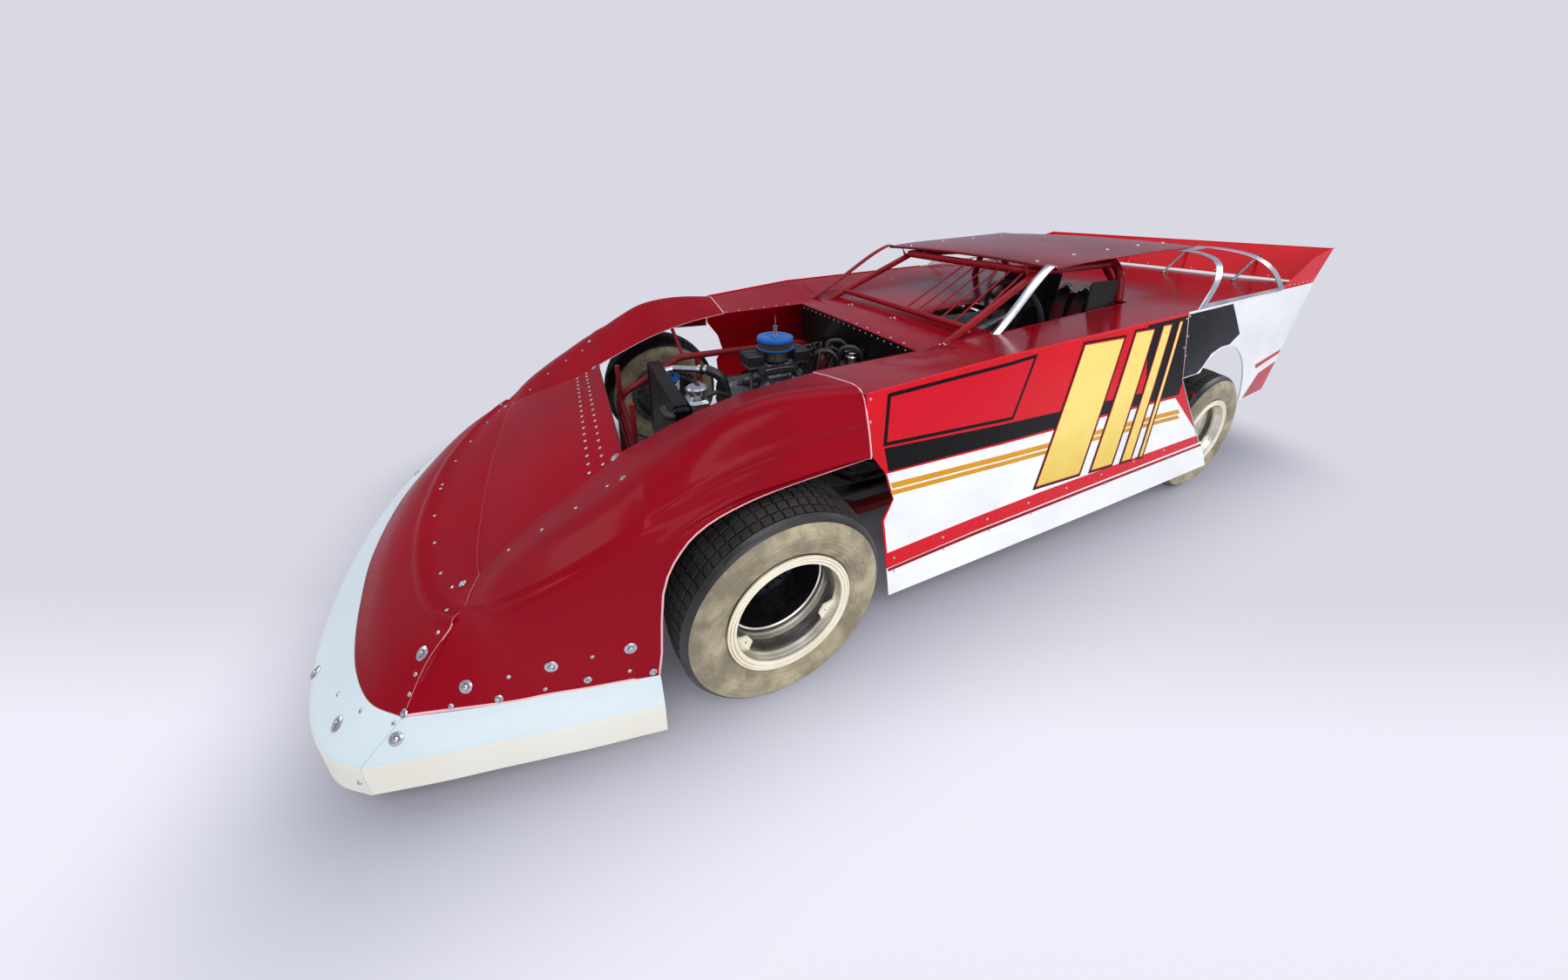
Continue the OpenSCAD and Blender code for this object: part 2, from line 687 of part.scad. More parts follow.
// Point out from an exhaust port of the left head by h
function port(x, h) = let (a = bank_angle)
  [x, 105 * cos(a) + 286 * sin(a) + h * cos(a), crank_z + 286 * cos(a) - 105 * sin(a) - h * sin(a)];
// Places of the four primaries where they enter the collector, as [y, z]
collector = [648, 415];
LANES = [[26, -26], [26, 26], [-26, -26], [-26, 26]];
module exhaust() {
  color("#202022") both() {
    for (k = [0 : 3]) let (x = block_front - 95 - k * port_pitch, l = collector + LANES[k])
      run([port(x, 0.3), port(x, 92), [x - 120 + 20 * k, l.x, l.y], [476, l.x, l.y]], primary_d);
    bar([486, collector.x, collector.y], [430, collector.x, collector.y], 126);
    run([[440, collector.x, collector.y], [390, 660, 402], [290, 695, 372], [-500, 700, 300]], 100);
  }
}
module radiator() {
  x = upright_x[1];
  color("#3c3e42") {
    block([x - 30, -300, 324.3], [x + 30, 300, 740]);
    both() block([x - 36, 299, 330], [x + 36, 330, 735]);
  }
}
module driveline() {
  color("#6a6c70") {
    lengthways(block_rear - 190, block_rear) translate([0, crank_z]) circle(r = 165);
    block([block_rear - 560, -95, crank_z - 110], [block_rear - 189, 95, crank_z + 110]);
    bar([block_rear - 561, 0, crank_z], [ax_r + 171.5, 0, axle_z], 76);
  }
}
hub_y = [track_f - rim_w / 2 + rim_back, track_r - rim_w / 2 + rim_back];
spindle_d = 50;
module across(y0, y1, r) {
  translate([0, y0, 0]) rotate([-90, 0, 0]) cylinder(r = r, h = y1 - y0);
}
module rear_axle() {
  color("#55575b") translate([ax_r, 0, axle_z]) {
    both() {
      across(0, hub_y[1] - 80, 40);
      across(hub_y[1] - 81, hub_y[1] + 24, spindle_d / 2);
      across(570, 640, 66);
      block([-20, 570, -130], [20, 625, 130]);
    }
    rotate([0, 90, 0]) translate([0, 0, -150]) cylinder(r = 135, h = 280);
    translate([-151, -90, -100]) cube([40, 180, 200]);
    rotate([0, 90, 0]) cylinder(r = 60, h = 169.5);
  }
}
module rear_links() {
  color("#3a3c40") both()
    for (z = [axle_z - 105, axle_z + 105])
      bar([ax_r + 21.5, 611.5, z], [link_x, 611.5, z < axle_z ? rail_z + 60 : 440], 28);
}
tank_top = 670;
module fuel_tank() {
  color("#26262a") block([ax_r - 820, -280, cradle_z + brace_d / 2 + 0.3], [ax_r - 400, 280, tank_top]);
}
ball_z = [axle_z - 125, axle_z + 130];
module arms_front() {
  rack_x = ax_f - steer_arm;
  color("#4c4e52") difference() {
    both() {
      for (s = [-1, 1]) {
        bar([ax_f + s * 130, clip_y, clip_z + 20], [ax_f + s * 14, kingpin_y - 6, ball_z[0] - 20], 24);
        bar([ax_f + s * 135, clip_y + 60, ball_z[1] + 55],
          [ax_f + s * 13, kingpin_y - 6, ball_z[1] + 20], 22);
      }
      bar([ax_f - 64, 565, ball_z[0] - 20], [ax_f + 64, 565, ball_z[0] - 20], 20);
      translate([ax_f, kingpin_y, ball_z[0] - 34]) cylinder(d = 58, h = 28);
      translate([ax_f, kingpin_y, ball_z[0] - 7]) cylinder(d = 24, h = 34);
      translate([ax_f, kingpin_y, ball_z[1] + 5]) cylinder(d = 56, h = 30);
      translate([ax_f, kingpin_y, ball_z[1] - 27]) cylinder(d = 24, h = 34);
      translate([rack_x, 0, axle_z - 73]) across(0, 300, 28);
      block([rack_x - 14, 285, clip_z + 5], [rack_x + 14, 305, axle_z - 73]);
      block([rack_x - 14, 285, clip_z + 5], [rack_x + 14, clip_y, clip_z + 15]);
    }
    clip_bars();
    translate([rack_x, 0, axle_z - 73]) across(-400, 400, 12.5);
  }
}
module coilovers() {
  color("#d8d8da") both() {
    difference() {
      bar([ax_f, 565, 226.3], [ax_f, upper_y + 12, upper_z - 24], 30);
      bar([ax_f - 300, upper_y, upper_z], [ax_f - 30, upper_y, upper_z], leg_d);
      bar([ax_f - 60, upper_y + 4, upper_z + 6.6], [clip_end, clip_y, 560], leg_d);
    }
    bar([ax_f, 548, 270], [ax_f, 470, 560], 84);
  }
}
module knuckle() {
  difference() {
    union() {
      block([ax_f - 24, kingpin_y - 16, ball_z[0]], [ax_f + 24, kingpin_y + 24, ball_z[1]]);
      block([ax_f - 45, kingpin_y - 10, axle_z - 50], [ax_f + 45, kingpin_y + 28, axle_z + 50]);
      translate([ax_f, 0, axle_z]) across(kingpin_y + 10, hub_y[0] + 24, spindle_d / 2);
      block([ax_f - steer_arm, kingpin_y - 12, axle_z - 60], [ax_f, kingpin_y + 12, axle_z - 42]);
      translate([ax_f - steer_arm, kingpin_y, axle_z - 60]) cylinder(d = 34, h = 18);
    }
    translate([ax_f, kingpin_y, ball_z[0] - 1]) cylinder(d = 24 + 2 * hub_gap, h = 30);
    translate([ax_f, kingpin_y, ball_z[1] - 29]) cylinder(d = 24 + 2 * hub_gap, h = 30);
  }
}
module knuckle_left() {
  color("#505256") knuckle();
}
module knuckle_right() {
  color("#505256") mirror([0, 1, 0]) knuckle();
}
module tie_rods() {
  color("#8a8c90") translate([ax_f - steer_arm, 0, axle_z - 73]) {
    both() {
      across(0, kingpin_y - 12, 12);
      translate([0, kingpin_y, -6]) cylinder(d = 32, h = 12);
    }
  }
}
// Steering column, from the wheel down to the rack
seat_y = 320;
wheel_hub = [deck_split - 60, seat_y, 985];
column_z = wheel_hub.z - (leg_x - 60 - wheel_hub.x) * tan(column_tilt);
column_dir = [cos(column_tilt), 0, -sin(column_tilt)];
module steering_column() {
  joint = [leg_x - 60, seat_y, column_z];
  low = [hood_rear + 90, 395, 640];
  color("#3c3e42") {
    bar(wheel_hub + 60 * column_dir, wheel_hub + 560 * column_dir, 36);
    bar(wheel_hub + 555 * column_dir, joint - 9 * column_dir, 22);
    translate(joint) sphere(d = 40);
    run([joint + 9 * unit(low - joint), low, [block_front - 40, 395, 520],
      [ax_f - steer_arm - 8, 262, axle_z - 36]], 20);
  }
}
module steering_wheel() {
  color("#1c1c1e") translate(wheel_hub) rotate([0, 90 + column_tilt, 0]) {
    rotate_extrude($fn = 64) translate([wheel_d / 2 - 14, 0]) circle(d = 28);
    cylinder(d = 70, h = 12);
    for (a = [0, 120, 240])
      rotate(a) translate([20, -16, 2]) cube([wheel_d / 2 - 30, 32, 6]);
    cylinder(d = 34, h = 59.7);
  }
}
seat_x = ax_r + 333;
module seat() {
  color("#18181a") {
    translate([0, seat_y + 200, 0]) rotate([90, 0, 0]) linear_extrude(height = 400)
      polygon([[seat_x, 300], [seat_x - 90, 1150], [seat_x - 60, 1154], [seat_x + 32, 330],
        [seat_x + 440, 290], [seat_x + 440, 262], [seat_x, 282]]);
    for (s = [-1, 1]) translate([0, seat_y + s * 195 + 6, 0]) rotate([90, 0, 0]) linear_extrude(height = 12)
      polygon([[seat_x + 2, 284], [seat_x - 88, 1150], [seat_x + 150, 1150], [seat_x + 150, 960],
        [seat_x + 10, 930], [seat_x + 130, 820], [seat_x + 100, 640], [seat_x + 120, 480],
        [seat_x + 420, 420], [seat_x + 430, 270]]);
    translate([0, seat_y, 0]) block([seat_x + 40, -150, 203.4], [seat_x + 400, 150, 275]);
  }
}
module cockpit_tub() {
  color("#a8aaae") {
    block([hoop_x + 30, cockpit_in, rail_top + 0.2], [leg_x - 60, rail_y - 40, rail_top + 3.2]);
    block([hoop_x + 30, cockpit_in - 4, rail_top + 0.2], [leg_x - 60, cockpit_in, deck_z(0) - 20]);
    difference() {
      block([leg_x - 60, -rail_y + 40, rail_top + 0.2], [leg_x - 56, rail_y - 40, max(780, column_z + 60)]);
      block([leg_x - 70, -cockpit_in, 0], [leg_x - 50, cockpit_in - 4, crank_z + 130]);
      bar([leg_x, seat_y, column_z - 60 * tan(column_tilt)],
        [leg_x - 100, seat_y, column_z + 40 * tan(column_tilt)], 46);
    }
  }
}

// Wheels
module tyre() {
  h = tyre_w / 2;
  color("#242220") rotate([90, 0, 0]) rotate_extrude($fn = 96)
    polygon([[rim_r - 8.7, -h + 28], [rim_r + 22, -h + 8], [rim_r + 72, -h],
      [tyre_r - 42, -h + 12], [tyre_r - 14, -h + 34], [tyre_r - 4, -h + 52], [tyre_r, 0],
      [tyre_r - 4, h - 52], [tyre_r - 14, h - 34], [tyre_r - 42, h - 12],
      [rim_r + 72, h], [rim_r + 22, h - 8], [rim_r - 8.7, h - 28]]);
}
rim_wall = 7;
tab_pcd = 324;
tab_hole_r = 4;
module rim() {
  h = rim_w / 2;
  b = rim_r - 22;
  color("#c9c6bc") rotate([-90, 0, 0]) difference() {
    union() {
      rotate_extrude($fn = 96)
        polygon([[b - rim_wall, -h], [rim_r - 3, -h], [rim_r, -h + 4], [rim_r - 3, -h + 9],
          [rim_r - 9, -h + 20], [b, -h + 32], [b, h - 32], [rim_r - 9, h - 20],
          [rim_r - 3, h - 9], [rim_r, h - 4], [rim_r - 3, h], [b - rim_wall, h]]);
      translate([0, 0, rim_back - h]) cylinder(r = b - rim_wall + 1, h = 8);
      translate([0, 0, rim_back - h - 40]) cylinder(r = 52, h = 75);
      for (k = [0 : 2])
        rotate(30 + k * 120) translate([0, 0, h - 40]) rim_tab();
    }
    for (k = [0 : 2])
      rotate(30 + k * 120) translate([tab_pcd / 2, 0, h - 42]) cylinder(r = tab_hole_r, h = 12);
    translate([0, 0, rim_back - h - 41]) cylinder(r = spindle_d / 2 + hub_gap, h = 66);
  }
}
module rim_tab() {
  translate([tab_pcd / 2, 0, 0]) cylinder(r = 16, h = 6);
  translate([tab_pcd / 2, -16, 0]) cube([rim_r - 22 - rim_wall / 2 - tab_pcd / 2, 32, 6]);
}
module at_wheel(front, s) {
  translate([front ? ax_f : ax_r, s * (front ? track_f : track_r), axle_z])
    if (s > 0) children();
    else mirror([0, 1, 0]) children();
}
module tyre_front_left() { at_wheel(true, 1) tyre(); }
module tyre_front_right() { at_wheel(true, -1) tyre(); }
module tyre_rear_left() { at_wheel(false, 1) tyre(); }
module tyre_rear_right() { at_wheel(false, -1) tyre(); }
module rim_front_left() { at_wheel(true, 1) rim(); }
module rim_front_right() { at_wheel(true, -1) rim(); }
module rim_rear_left() { at_wheel(false, 1) rim(); }
module rim_rear_right() { at_wheel(false, -1) rim(); }

// Light stays that hold the sheets, trimmed under each sheet
module body_stays() {
  color("#6e1a1e") difference() {
    both() {
      bar([ax_f + 1070, 300, 284.3], [ax_f + 1070, 300, 520], 24);
      bar([clip_end, 250, 576.5], [clip_end, 250, 760], 24);
      bar([ax_f - 60, upper_y + 16, 712], [ax_f, 700, 1000], 20);
      bar([leg_x, rail_y + 22, 620], [leg_x, 1100, 620], 20);
      bar([hoop_x + 60, 569, 640], [hoop_x + 60, 1150, 640], 20);
      bar([tail_rail + 60, 403, kick_z - 4], [tail_rail + 60, 403, 1300], 24);
      bar([deck_split + 60, 300, halo_z + 22], [deck_split + 60, 300, 1500], 20);
      bar([hoop_x, 300, hoop_z + 22], [hoop_x, 300, 1500], 20);
    }
    skin(nose_grid(), plastic_t, 300);
    skin(panel_grid(), sheet_t, 300);
    both() {
      skin(fender_grid(), plastic_t, 400);
      skin(side_grid(side_x, STRIP_LINE, TOP_LINE, -3), sheet_t, 300);
    }
    skin(deck_grid(rear_deck_x), sheet_t, 300);
    skin(roof_grid(), sheet_t, 300);
    clip_tubes();
  }
}

frame();
front_clip();
rear_clip();
rear_bumper();
roll_cage();
cage_bars();
body_stays();
engine();
air_cleaner();
exhaust();
radiator();
driveline();
rear_axle();
rear_links();
fuel_tank();
arms_front();
coilovers();
knuckle_left();
knuckle_right();
tie_rods();
steering_column();
steering_wheel();
seat();
cockpit_tub();
tyre_front_left();
tyre_front_right();
tyre_rear_left();
tyre_rear_right();
rim_front_left();
rim_front_right();
rim_rear_left();
rim_rear_right();
nose_cover();
nose_panel();
fender_left();
fender_right();
valance();
front_deck();
rear_deck();
doors();
quarters();
rocker_skirts();
roof();
sails();
spoiler();
front_posts();
tail_panel();
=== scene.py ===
import math
import random

import bmesh
import bpy
from mathutils import Matrix, Vector
from mathutils.bvhtree import BVHTree


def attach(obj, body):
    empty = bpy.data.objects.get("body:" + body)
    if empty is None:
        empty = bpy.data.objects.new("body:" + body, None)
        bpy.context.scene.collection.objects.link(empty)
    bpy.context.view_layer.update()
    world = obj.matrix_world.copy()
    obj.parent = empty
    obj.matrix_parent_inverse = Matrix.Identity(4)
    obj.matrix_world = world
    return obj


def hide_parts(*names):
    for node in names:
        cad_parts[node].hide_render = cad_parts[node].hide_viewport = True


bl_info = {
    "name": "Dirt oval racing car",
    "version": (1, 0, 0),
    "blender": (4, 5, 0),
    "location": "View3D > Sidebar > Oval Car",
    "description": "Dresses a dirt oval racing car in its panels, wheels, engine parts and finishes",
    "category": "Object",
}

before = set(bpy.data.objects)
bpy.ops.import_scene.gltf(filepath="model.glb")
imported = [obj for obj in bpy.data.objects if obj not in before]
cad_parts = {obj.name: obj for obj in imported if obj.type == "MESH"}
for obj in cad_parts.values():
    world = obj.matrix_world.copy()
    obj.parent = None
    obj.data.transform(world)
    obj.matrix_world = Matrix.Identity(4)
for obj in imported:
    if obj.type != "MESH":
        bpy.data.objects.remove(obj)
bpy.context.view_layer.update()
MM = 0.001
UP = (0, 0, 1)
FORWARD = (1, 0, 0)
RNG = random.Random(7)

# Axle lines and shared levels of the car, in millimetres
AX_F = 1223
AX_R = -1393
AXLE_Z = 355
HOOD_Y = 555
ROOF_FRONT = -410
ROOF_REAR = -1660
SPOILER_Z = 1330
SPOILER_HALF = 905
ROOF_HALF = 625
SEAT_Y = 320

# Middle and radius of the rear wheel arch
ARCH_X = -1453
ARCH_Z = 450
ARCH_R = 400

# The camera of the photograph: place, heading in degrees, focal length and centre in pixels
EYE = Vector((1.71504, 1.9932, 1.5340))
HEADING = (-115.572, -19.2519, 0.8445)
FOCAL = 510.17
CENTRE = (893.19, 413.68)
PHOTO_WIDE = 1800
PHOTO_HIGH = 1125
SENSOR = 36


class CarSizes(bpy.types.PropertyGroup):
    """Sizes of the added pieces"""
    rivet: bpy.props.FloatProperty(
        name="Rivet head", description="Diameter of the rivet heads",
        default=0.013, min=0.006, max=0.02, unit="LENGTH")
    bolt: bpy.props.FloatProperty(
        name="Bolt washer", description="Diameter of the large panel washers",
        default=0.034, min=0.02, max=0.05, unit="LENGTH")
    tread_rows: bpy.props.IntProperty(
        name="Tread rows", description="Blocks across one tyre",
        default=9, min=5, max=13)
    tread_count: bpy.props.IntProperty(
        name="Tread count", description="Blocks round one tyre",
        default=62, min=30, max=90)


class CarColours(bpy.types.PropertyGroup):
    """Colours of the car, as sRGB hex values"""
    plastic: bpy.props.StringProperty(
        name="Nose plastic", description="Colour of the moulded nose and fenders", default="#96061a")
    # The side sheets' red is lighter than the decks' red: partly the sheets' own paint, partly painted
    # light for the lit flanks
    body: bpy.props.StringProperty(
        name="Body sheet", description="Colour of the painted side sheets", default="#d00c1e")
    deck: bpy.props.StringProperty(
        name="Deck sheet", description="Colour of the painted decks", default="#8e0618")
    gold: bpy.props.StringProperty(
        name="Gold film", description="Colour of the gold shapes on the doors", default="#dda01c")
    blue: bpy.props.StringProperty(
        name="Air cleaner", description="Colour of the air cleaner lid", default="#1f5fae")


def rivet_radius():
    """Radius of the rivet heads, in millimetres."""
    return bpy.context.scene.oval_sizes.rivet / MM / 2


def rgb(code, alpha=1.0):
    """Linear colour of an sRGB hex value."""
    parts = [int(code[i:i + 2], 16) / 255 for i in (1, 3, 5)]
    linear = [c / 12.92 if c <= 0.04045 else ((c + 0.055) / 1.055) ** 2.4 for c in parts]
    return (*linear, alpha)


def feed(mat, socket, value):
    """Gives an input a value, or another node's output."""
    if isinstance(value, bpy.types.NodeSocket):
        mat.node_tree.links.new(value, socket)
    else:
        socket.default_value = value


def node(mat, kind, settings=None, **links):
    """Adds a node with its settings and its inputs, each a value or another node's output."""
    made = mat.node_tree.nodes.new("ShaderNode" + kind)
    for key, value in (settings or {}).items():
        setattr(made, key, value)
    for key, value in links.items():
        place = int(key[1:]) if key[1:].isdigit() else key.replace("_", " ")
        feed(mat, made.inputs[place], value)
    return made


def calc(mat, operation, *values, kind="Math", out=0):
    """Output of a maths node with its inputs in order."""
    links = {f"i{k}": value for k, value in enumerate(values)}
    return node(mat, kind, {"operation": operation}, **links).outputs[out]


def ramp(mat, source, stops):
    """Colour or grey along stops of (place, sRGB hex or grey)."""
    made = node(mat, "ValToRGB", Fac=source)
    line = made.color_ramp
    while len(line.elements) < len(stops):
        line.elements.new(0.5)
    for element, (place, colour) in zip(line.elements, stops):
        element.position = place
        element.color = rgb(colour) if isinstance(colour, str) else (colour, colour, colour, 1)
    return made.outputs["Color"]


def blank(name):
    """A material with its surface shader, and object coordinates in metres."""
    mat = bpy.data.materials.new(name)
    mat.use_nodes = True
    shader = mat.node_tree.nodes["Principled BSDF"]
    coords = node(mat, "TexCoord").outputs["Object"]
    return mat, shader, coords


def put(mat, shader, **inputs):
    """Feeds the inputs of the surface shader."""
    for key, value in inputs.items():
        feed(mat, shader.inputs[key.replace("_", " ")], value)


def noise(mat, coords, scale, detail=4, rough=0.55):
    return node(mat, "TexNoise", Vector=coords, Scale=scale, Detail=detail, Roughness=rough).outputs["Fac"]


def bump(mat, shader, height, strength, distance=0.001):
    made = node(mat, "Bump", Height=height, Strength=strength, Distance=distance)
    put(mat, shader, Normal=made.outputs["Normal"])


def mixed(mat, fac, a, b):
    """Colour a mixed with colour b."""
    return node(mat, "Mix", {"data_type": "RGBA"}, i0=fac, i6=a, i7=b).outputs[2]


# Finishes by the short names that the pieces use
STORE = {}
RING_WAVE = 449
FILM_TOP = 1.35 / 1.4


def moulded_plastic(name, colour, shade):
    """Gloss polyethylene, moulded: soft reflections, a faint orange peel of about
    12 mm, and scuffs that dull the gloss where dirt has rubbed it."""
    mat, shader, coords = blank(name)
    cloud = noise(mat, coords, 1.1, 2)
    base = ramp(mat, cloud, [(0.25, shade), (0.7, colour)])
    scuff = noise(mat, coords, 55, 8, 0.7)
    put(mat, shader, Base_Color=base, Specular_IOR_Level=0.05, Coat_Weight=0.05, Coat_Roughness=0.12,
        Roughness=ramp(mat, scuff, [(0.35, 0.3), (0.7, 0.42)]), IOR=1.5)
    bump(mat, shader, noise(mat, coords, 85, 2), 0.12, 0.0008)
    return mat


def painted_sheet(name, colour, shade, gloss=0.18):
    """Gloss enamel on aluminium sheet: sharp reflections that wander where the thin
    sheet is oil-canned, over a length of about 300 mm."""
    mat, shader, coords = blank(name)
    cloud = noise(mat, coords, 3.1)
    dust = noise(mat, coords, 140, 6, 0.7)
    put(mat, shader, Base_Color=ramp(mat, cloud, [(0.25, shade), (0.6, colour)]),
        Roughness=ramp(mat, dust, [(0.3, gloss), (0.75, gloss + 0.16)]),
        Coat_Weight=0.1, Coat_Roughness=0.05, Specular_IOR_Level=0.1, IOR=1.5)
    bump(mat, shader, noise(mat, coords, 3.4, 1), 0.35, 0.006)
    return mat


def cast_film(name, colour, shade, scale=5.0):
    """Printed vinyl film: a satin colour that is darker towards the bottom of the car, with fine scratches.
    """
    mat, shader, coords = blank(name)
    parts = node(mat, "SeparateXYZ", Vector=coords)
    # The colour runs from the darker tone low on the car to the full colour higher up, by height with some
    # noise
    drift = calc(mat, "MULTIPLY_ADD", noise(mat, coords, scale), 0.5, parts.outputs["Z"])
    put(mat, shader, Base_Color=ramp(mat, drift, [(0.55, shade), (FILM_TOP, colour)]),
        Roughness=ramp(mat, noise(mat, coords, 160, 5), [(0.35, 0.2), (0.7, 0.34)]), IOR=1.48,
        Specular_IOR_Level=0.12)
    bump(mat, shader, noise(mat, coords, 3.4, 1), 0.3, 0.006)
    return mat


def bare_metal(name, colour, shade, rough=0.28, scale=40, grime=0.0):
    """Bare metal: full metallic reflection, broken by handling marks and grime."""
    mat, shader, coords = blank(name)
    spots = noise(mat, coords, scale, 7, 0.65)
    put(mat, shader, Base_Color=ramp(mat, spots, [(0.32, shade), (0.66, colour)]), Metallic=1.0,
        Roughness=ramp(mat, spots, [(0.3, rough + 0.16 + grime), (0.7, rough)]))
    bump(mat, shader, noise(mat, coords, scale * 3, 4), 0.15, 0.0006)
    return mat


def spun_metal(name, colour, shade, rough):
    """Spun and polished aluminium: rings about 1 mm apart, drawn 14 mm apart to
    show, that stretch each highlight into a band round the dish."""
    mat, shader, coords = blank(name)
    spots = noise(mat, coords, 18, 3, 0.5)
    put(mat, shader, Base_Color=ramp(mat, spots, [(0.3, shade), (0.68, colour)]), Metallic=1.0,
        Roughness=ramp(mat, spots, [(0.3, rough + 0.1), (0.66, rough)]))
    parts = node(mat, "SeparateXYZ", Vector=coords)
    rings = calc(mat, "SINE", calc(mat, "MULTIPLY", parts.outputs["Y"], RING_WAVE))
    bump(mat, shader, rings, 0.2, 0.0006)
    return mat


def worn_rubber(name, colour, dust_colour, rough=0.72):
    """Racing tyre rubber: dull black, scrubbed brown on the tread by clay dust."""
    mat, shader, coords = blank(name)
    mottle = noise(mat, coords, 9, 8, 0.68)
    put(mat, shader, Base_Color=ramp(mat, mottle, [(0.4, colour), (0.72, dust_colour)]),
        Roughness=ramp(mat, mottle, [(0.35, rough - 0.2), (0.7, rough + 0.15)]), IOR=1.52)
    bump(mat, shader, noise(mat, coords, 260, 6, 0.7), 0.4, 0.001)
    return mat


def plain_black(name, colour="#131315", rough=0.45, weave=0):
    """Moulded black plastic, or black cloth where a weave pitch is given in metres."""
    mat, shader, coords = blank(name)
    spots = noise(mat, coords, 30, 5)
    lighter = mixed(mat, 0.5, rgb(colour), rgb("#3a3a3e"))
    put(mat, shader, Base_Color=mixed(mat, ramp(mat, spots, [(0.45, 0.0), (0.85, 0.5)]), rgb(colour),
                                      lighter),
        Roughness=ramp(mat, spots, [(0.3, rough - 0.08), (0.7, rough + 0.12)]))
    if weave:
        parts = node(mat, "SeparateXYZ", Vector=coords)
        waves = [calc(mat, "SINE", calc(mat, "MULTIPLY", parts.outputs[k], math.tau / weave)) for k in "YZ"]
        bump(mat, shader, calc(mat, "MULTIPLY", *waves), 0.5, 0.0008)
    else:
        bump(mat, shader, noise(mat, coords, 420, 3), 0.2, 0.0004)
    return mat


def make_materials():
    c = bpy.context.scene.oval_colours
    STORE.update({
        "plastic": moulded_plastic("candy_red_polyethylene", c.plastic, "#7c0517"),
        "white plastic": moulded_plastic("white_polyethylene", "#dfe9ea", "#c4d5da"),
        "cream plastic": moulded_plastic("cream_polyethylene", "#ecebe0", "#ddd9c8"),
        # Pale pink on the edges of the nose and fenders and on the fender lip beads: a painted highlight
        # along those edges
        "painted edge highlight": moulded_plastic("polyethylene_edge_painted_highlight", "#f3c9cc", "#e59aa2"),
        # Lighter red on the side sheets: partly their own paint, partly painted light for the lit flanks
        "body": painted_sheet("red_enamel_sheet", c.body, "#c40d1d"),
        "deck": painted_sheet("dark_red_enamel_sheet", c.deck, "#7c0615", 0.1),
        "roof": painted_sheet("deep_red_enamel_sheet", "#7c0a17", "#620713", 0.14),
        "white": painted_sheet("white_enamel_sheet", "#eef0ee", "#dfe2e2", 0.16),
        "tube": painted_sheet("red_powder_coated_tube", "#8f1420", "#6d101a", 0.2),
        "chassis": painted_sheet("oxide_red_chassis_paint", "#7a1c22", "#551418", 0.3),
        "gold": cast_film("gold_vinyl_film", c.gold, "#b4741a"),
        "pale gold": cast_film("pale_gold_vinyl_film", "#efd777", "#dcb950"),
        "black film": cast_film("black_vinyl_film", "#08080a", "#040405"),
        "red film": cast_film("red_vinyl_film", "#c80f24", "#8e0b1a"),
        "bolt": bare_metal("zinc_plated_steel", "#dcdde0", "#8c8e92", 0.2, 150),
        "steel": bare_metal("brushed_steel", "#a5a7ab", "#5c5e63", 0.32, 60, 0.08),
        "sheet": bare_metal("mill_finish_aluminium", "#c5c8cc", "#9a9da2", 0.3, 14),
        "bright": bare_metal("polished_aluminium_strip", "#eceef4", "#c4c8d4", 0.1, 9),
        "cast": bare_metal("cast_aluminium", "#85878b", "#3d3f43", 0.42, 46, 0.15),
        "iron": bare_metal("greasy_cast_iron", "#3b3c40", "#17181a", 0.5, 34, 0.2),
        "exhaust": bare_metal("heat_blued_steel", "#3a3532", "#141416", 0.42, 12, 0.1),
        "rim": spun_metal("spun_aluminium_dish", "#fbf8ef", "#dcd7c8", 0.3),
        "flange": painted_sheet("cream_powder_coated_flange", "#f3ecd8", "#d2c8ac", 0.3),
        "tread": worn_rubber("tread_rubber", "#100e0d", "#2c2622"),
        "sidewall": worn_rubber("sidewall_rubber", "#7b7159", "#bfb392", 0.6),
        "rubber": worn_rubber("hose_rubber", "#0d0d0e", "#2a2826", 0.5),
        "black": plain_black("black_abs"),
        "cloth": plain_black("black_nylon_cloth", "#101012", 0.8, 0.004),
        "red cloth": plain_black("red_vinyl_pad", "#6d0c18", 0.5),
        "blue": painted_sheet("blue_enamel_lid", c.blue, "#174a8c", 0.2),
        "filter": plain_black("pleated_filter_gauze", "#4a3a34", 0.85),
        "black sheet": painted_sheet("black_enamel_sheet", "#0c0c0e", "#16161a", 0.24),
        "cap": plain_black("oxide_red_bakelite", "#4a1216", 0.4),
    })


# Mesh tools

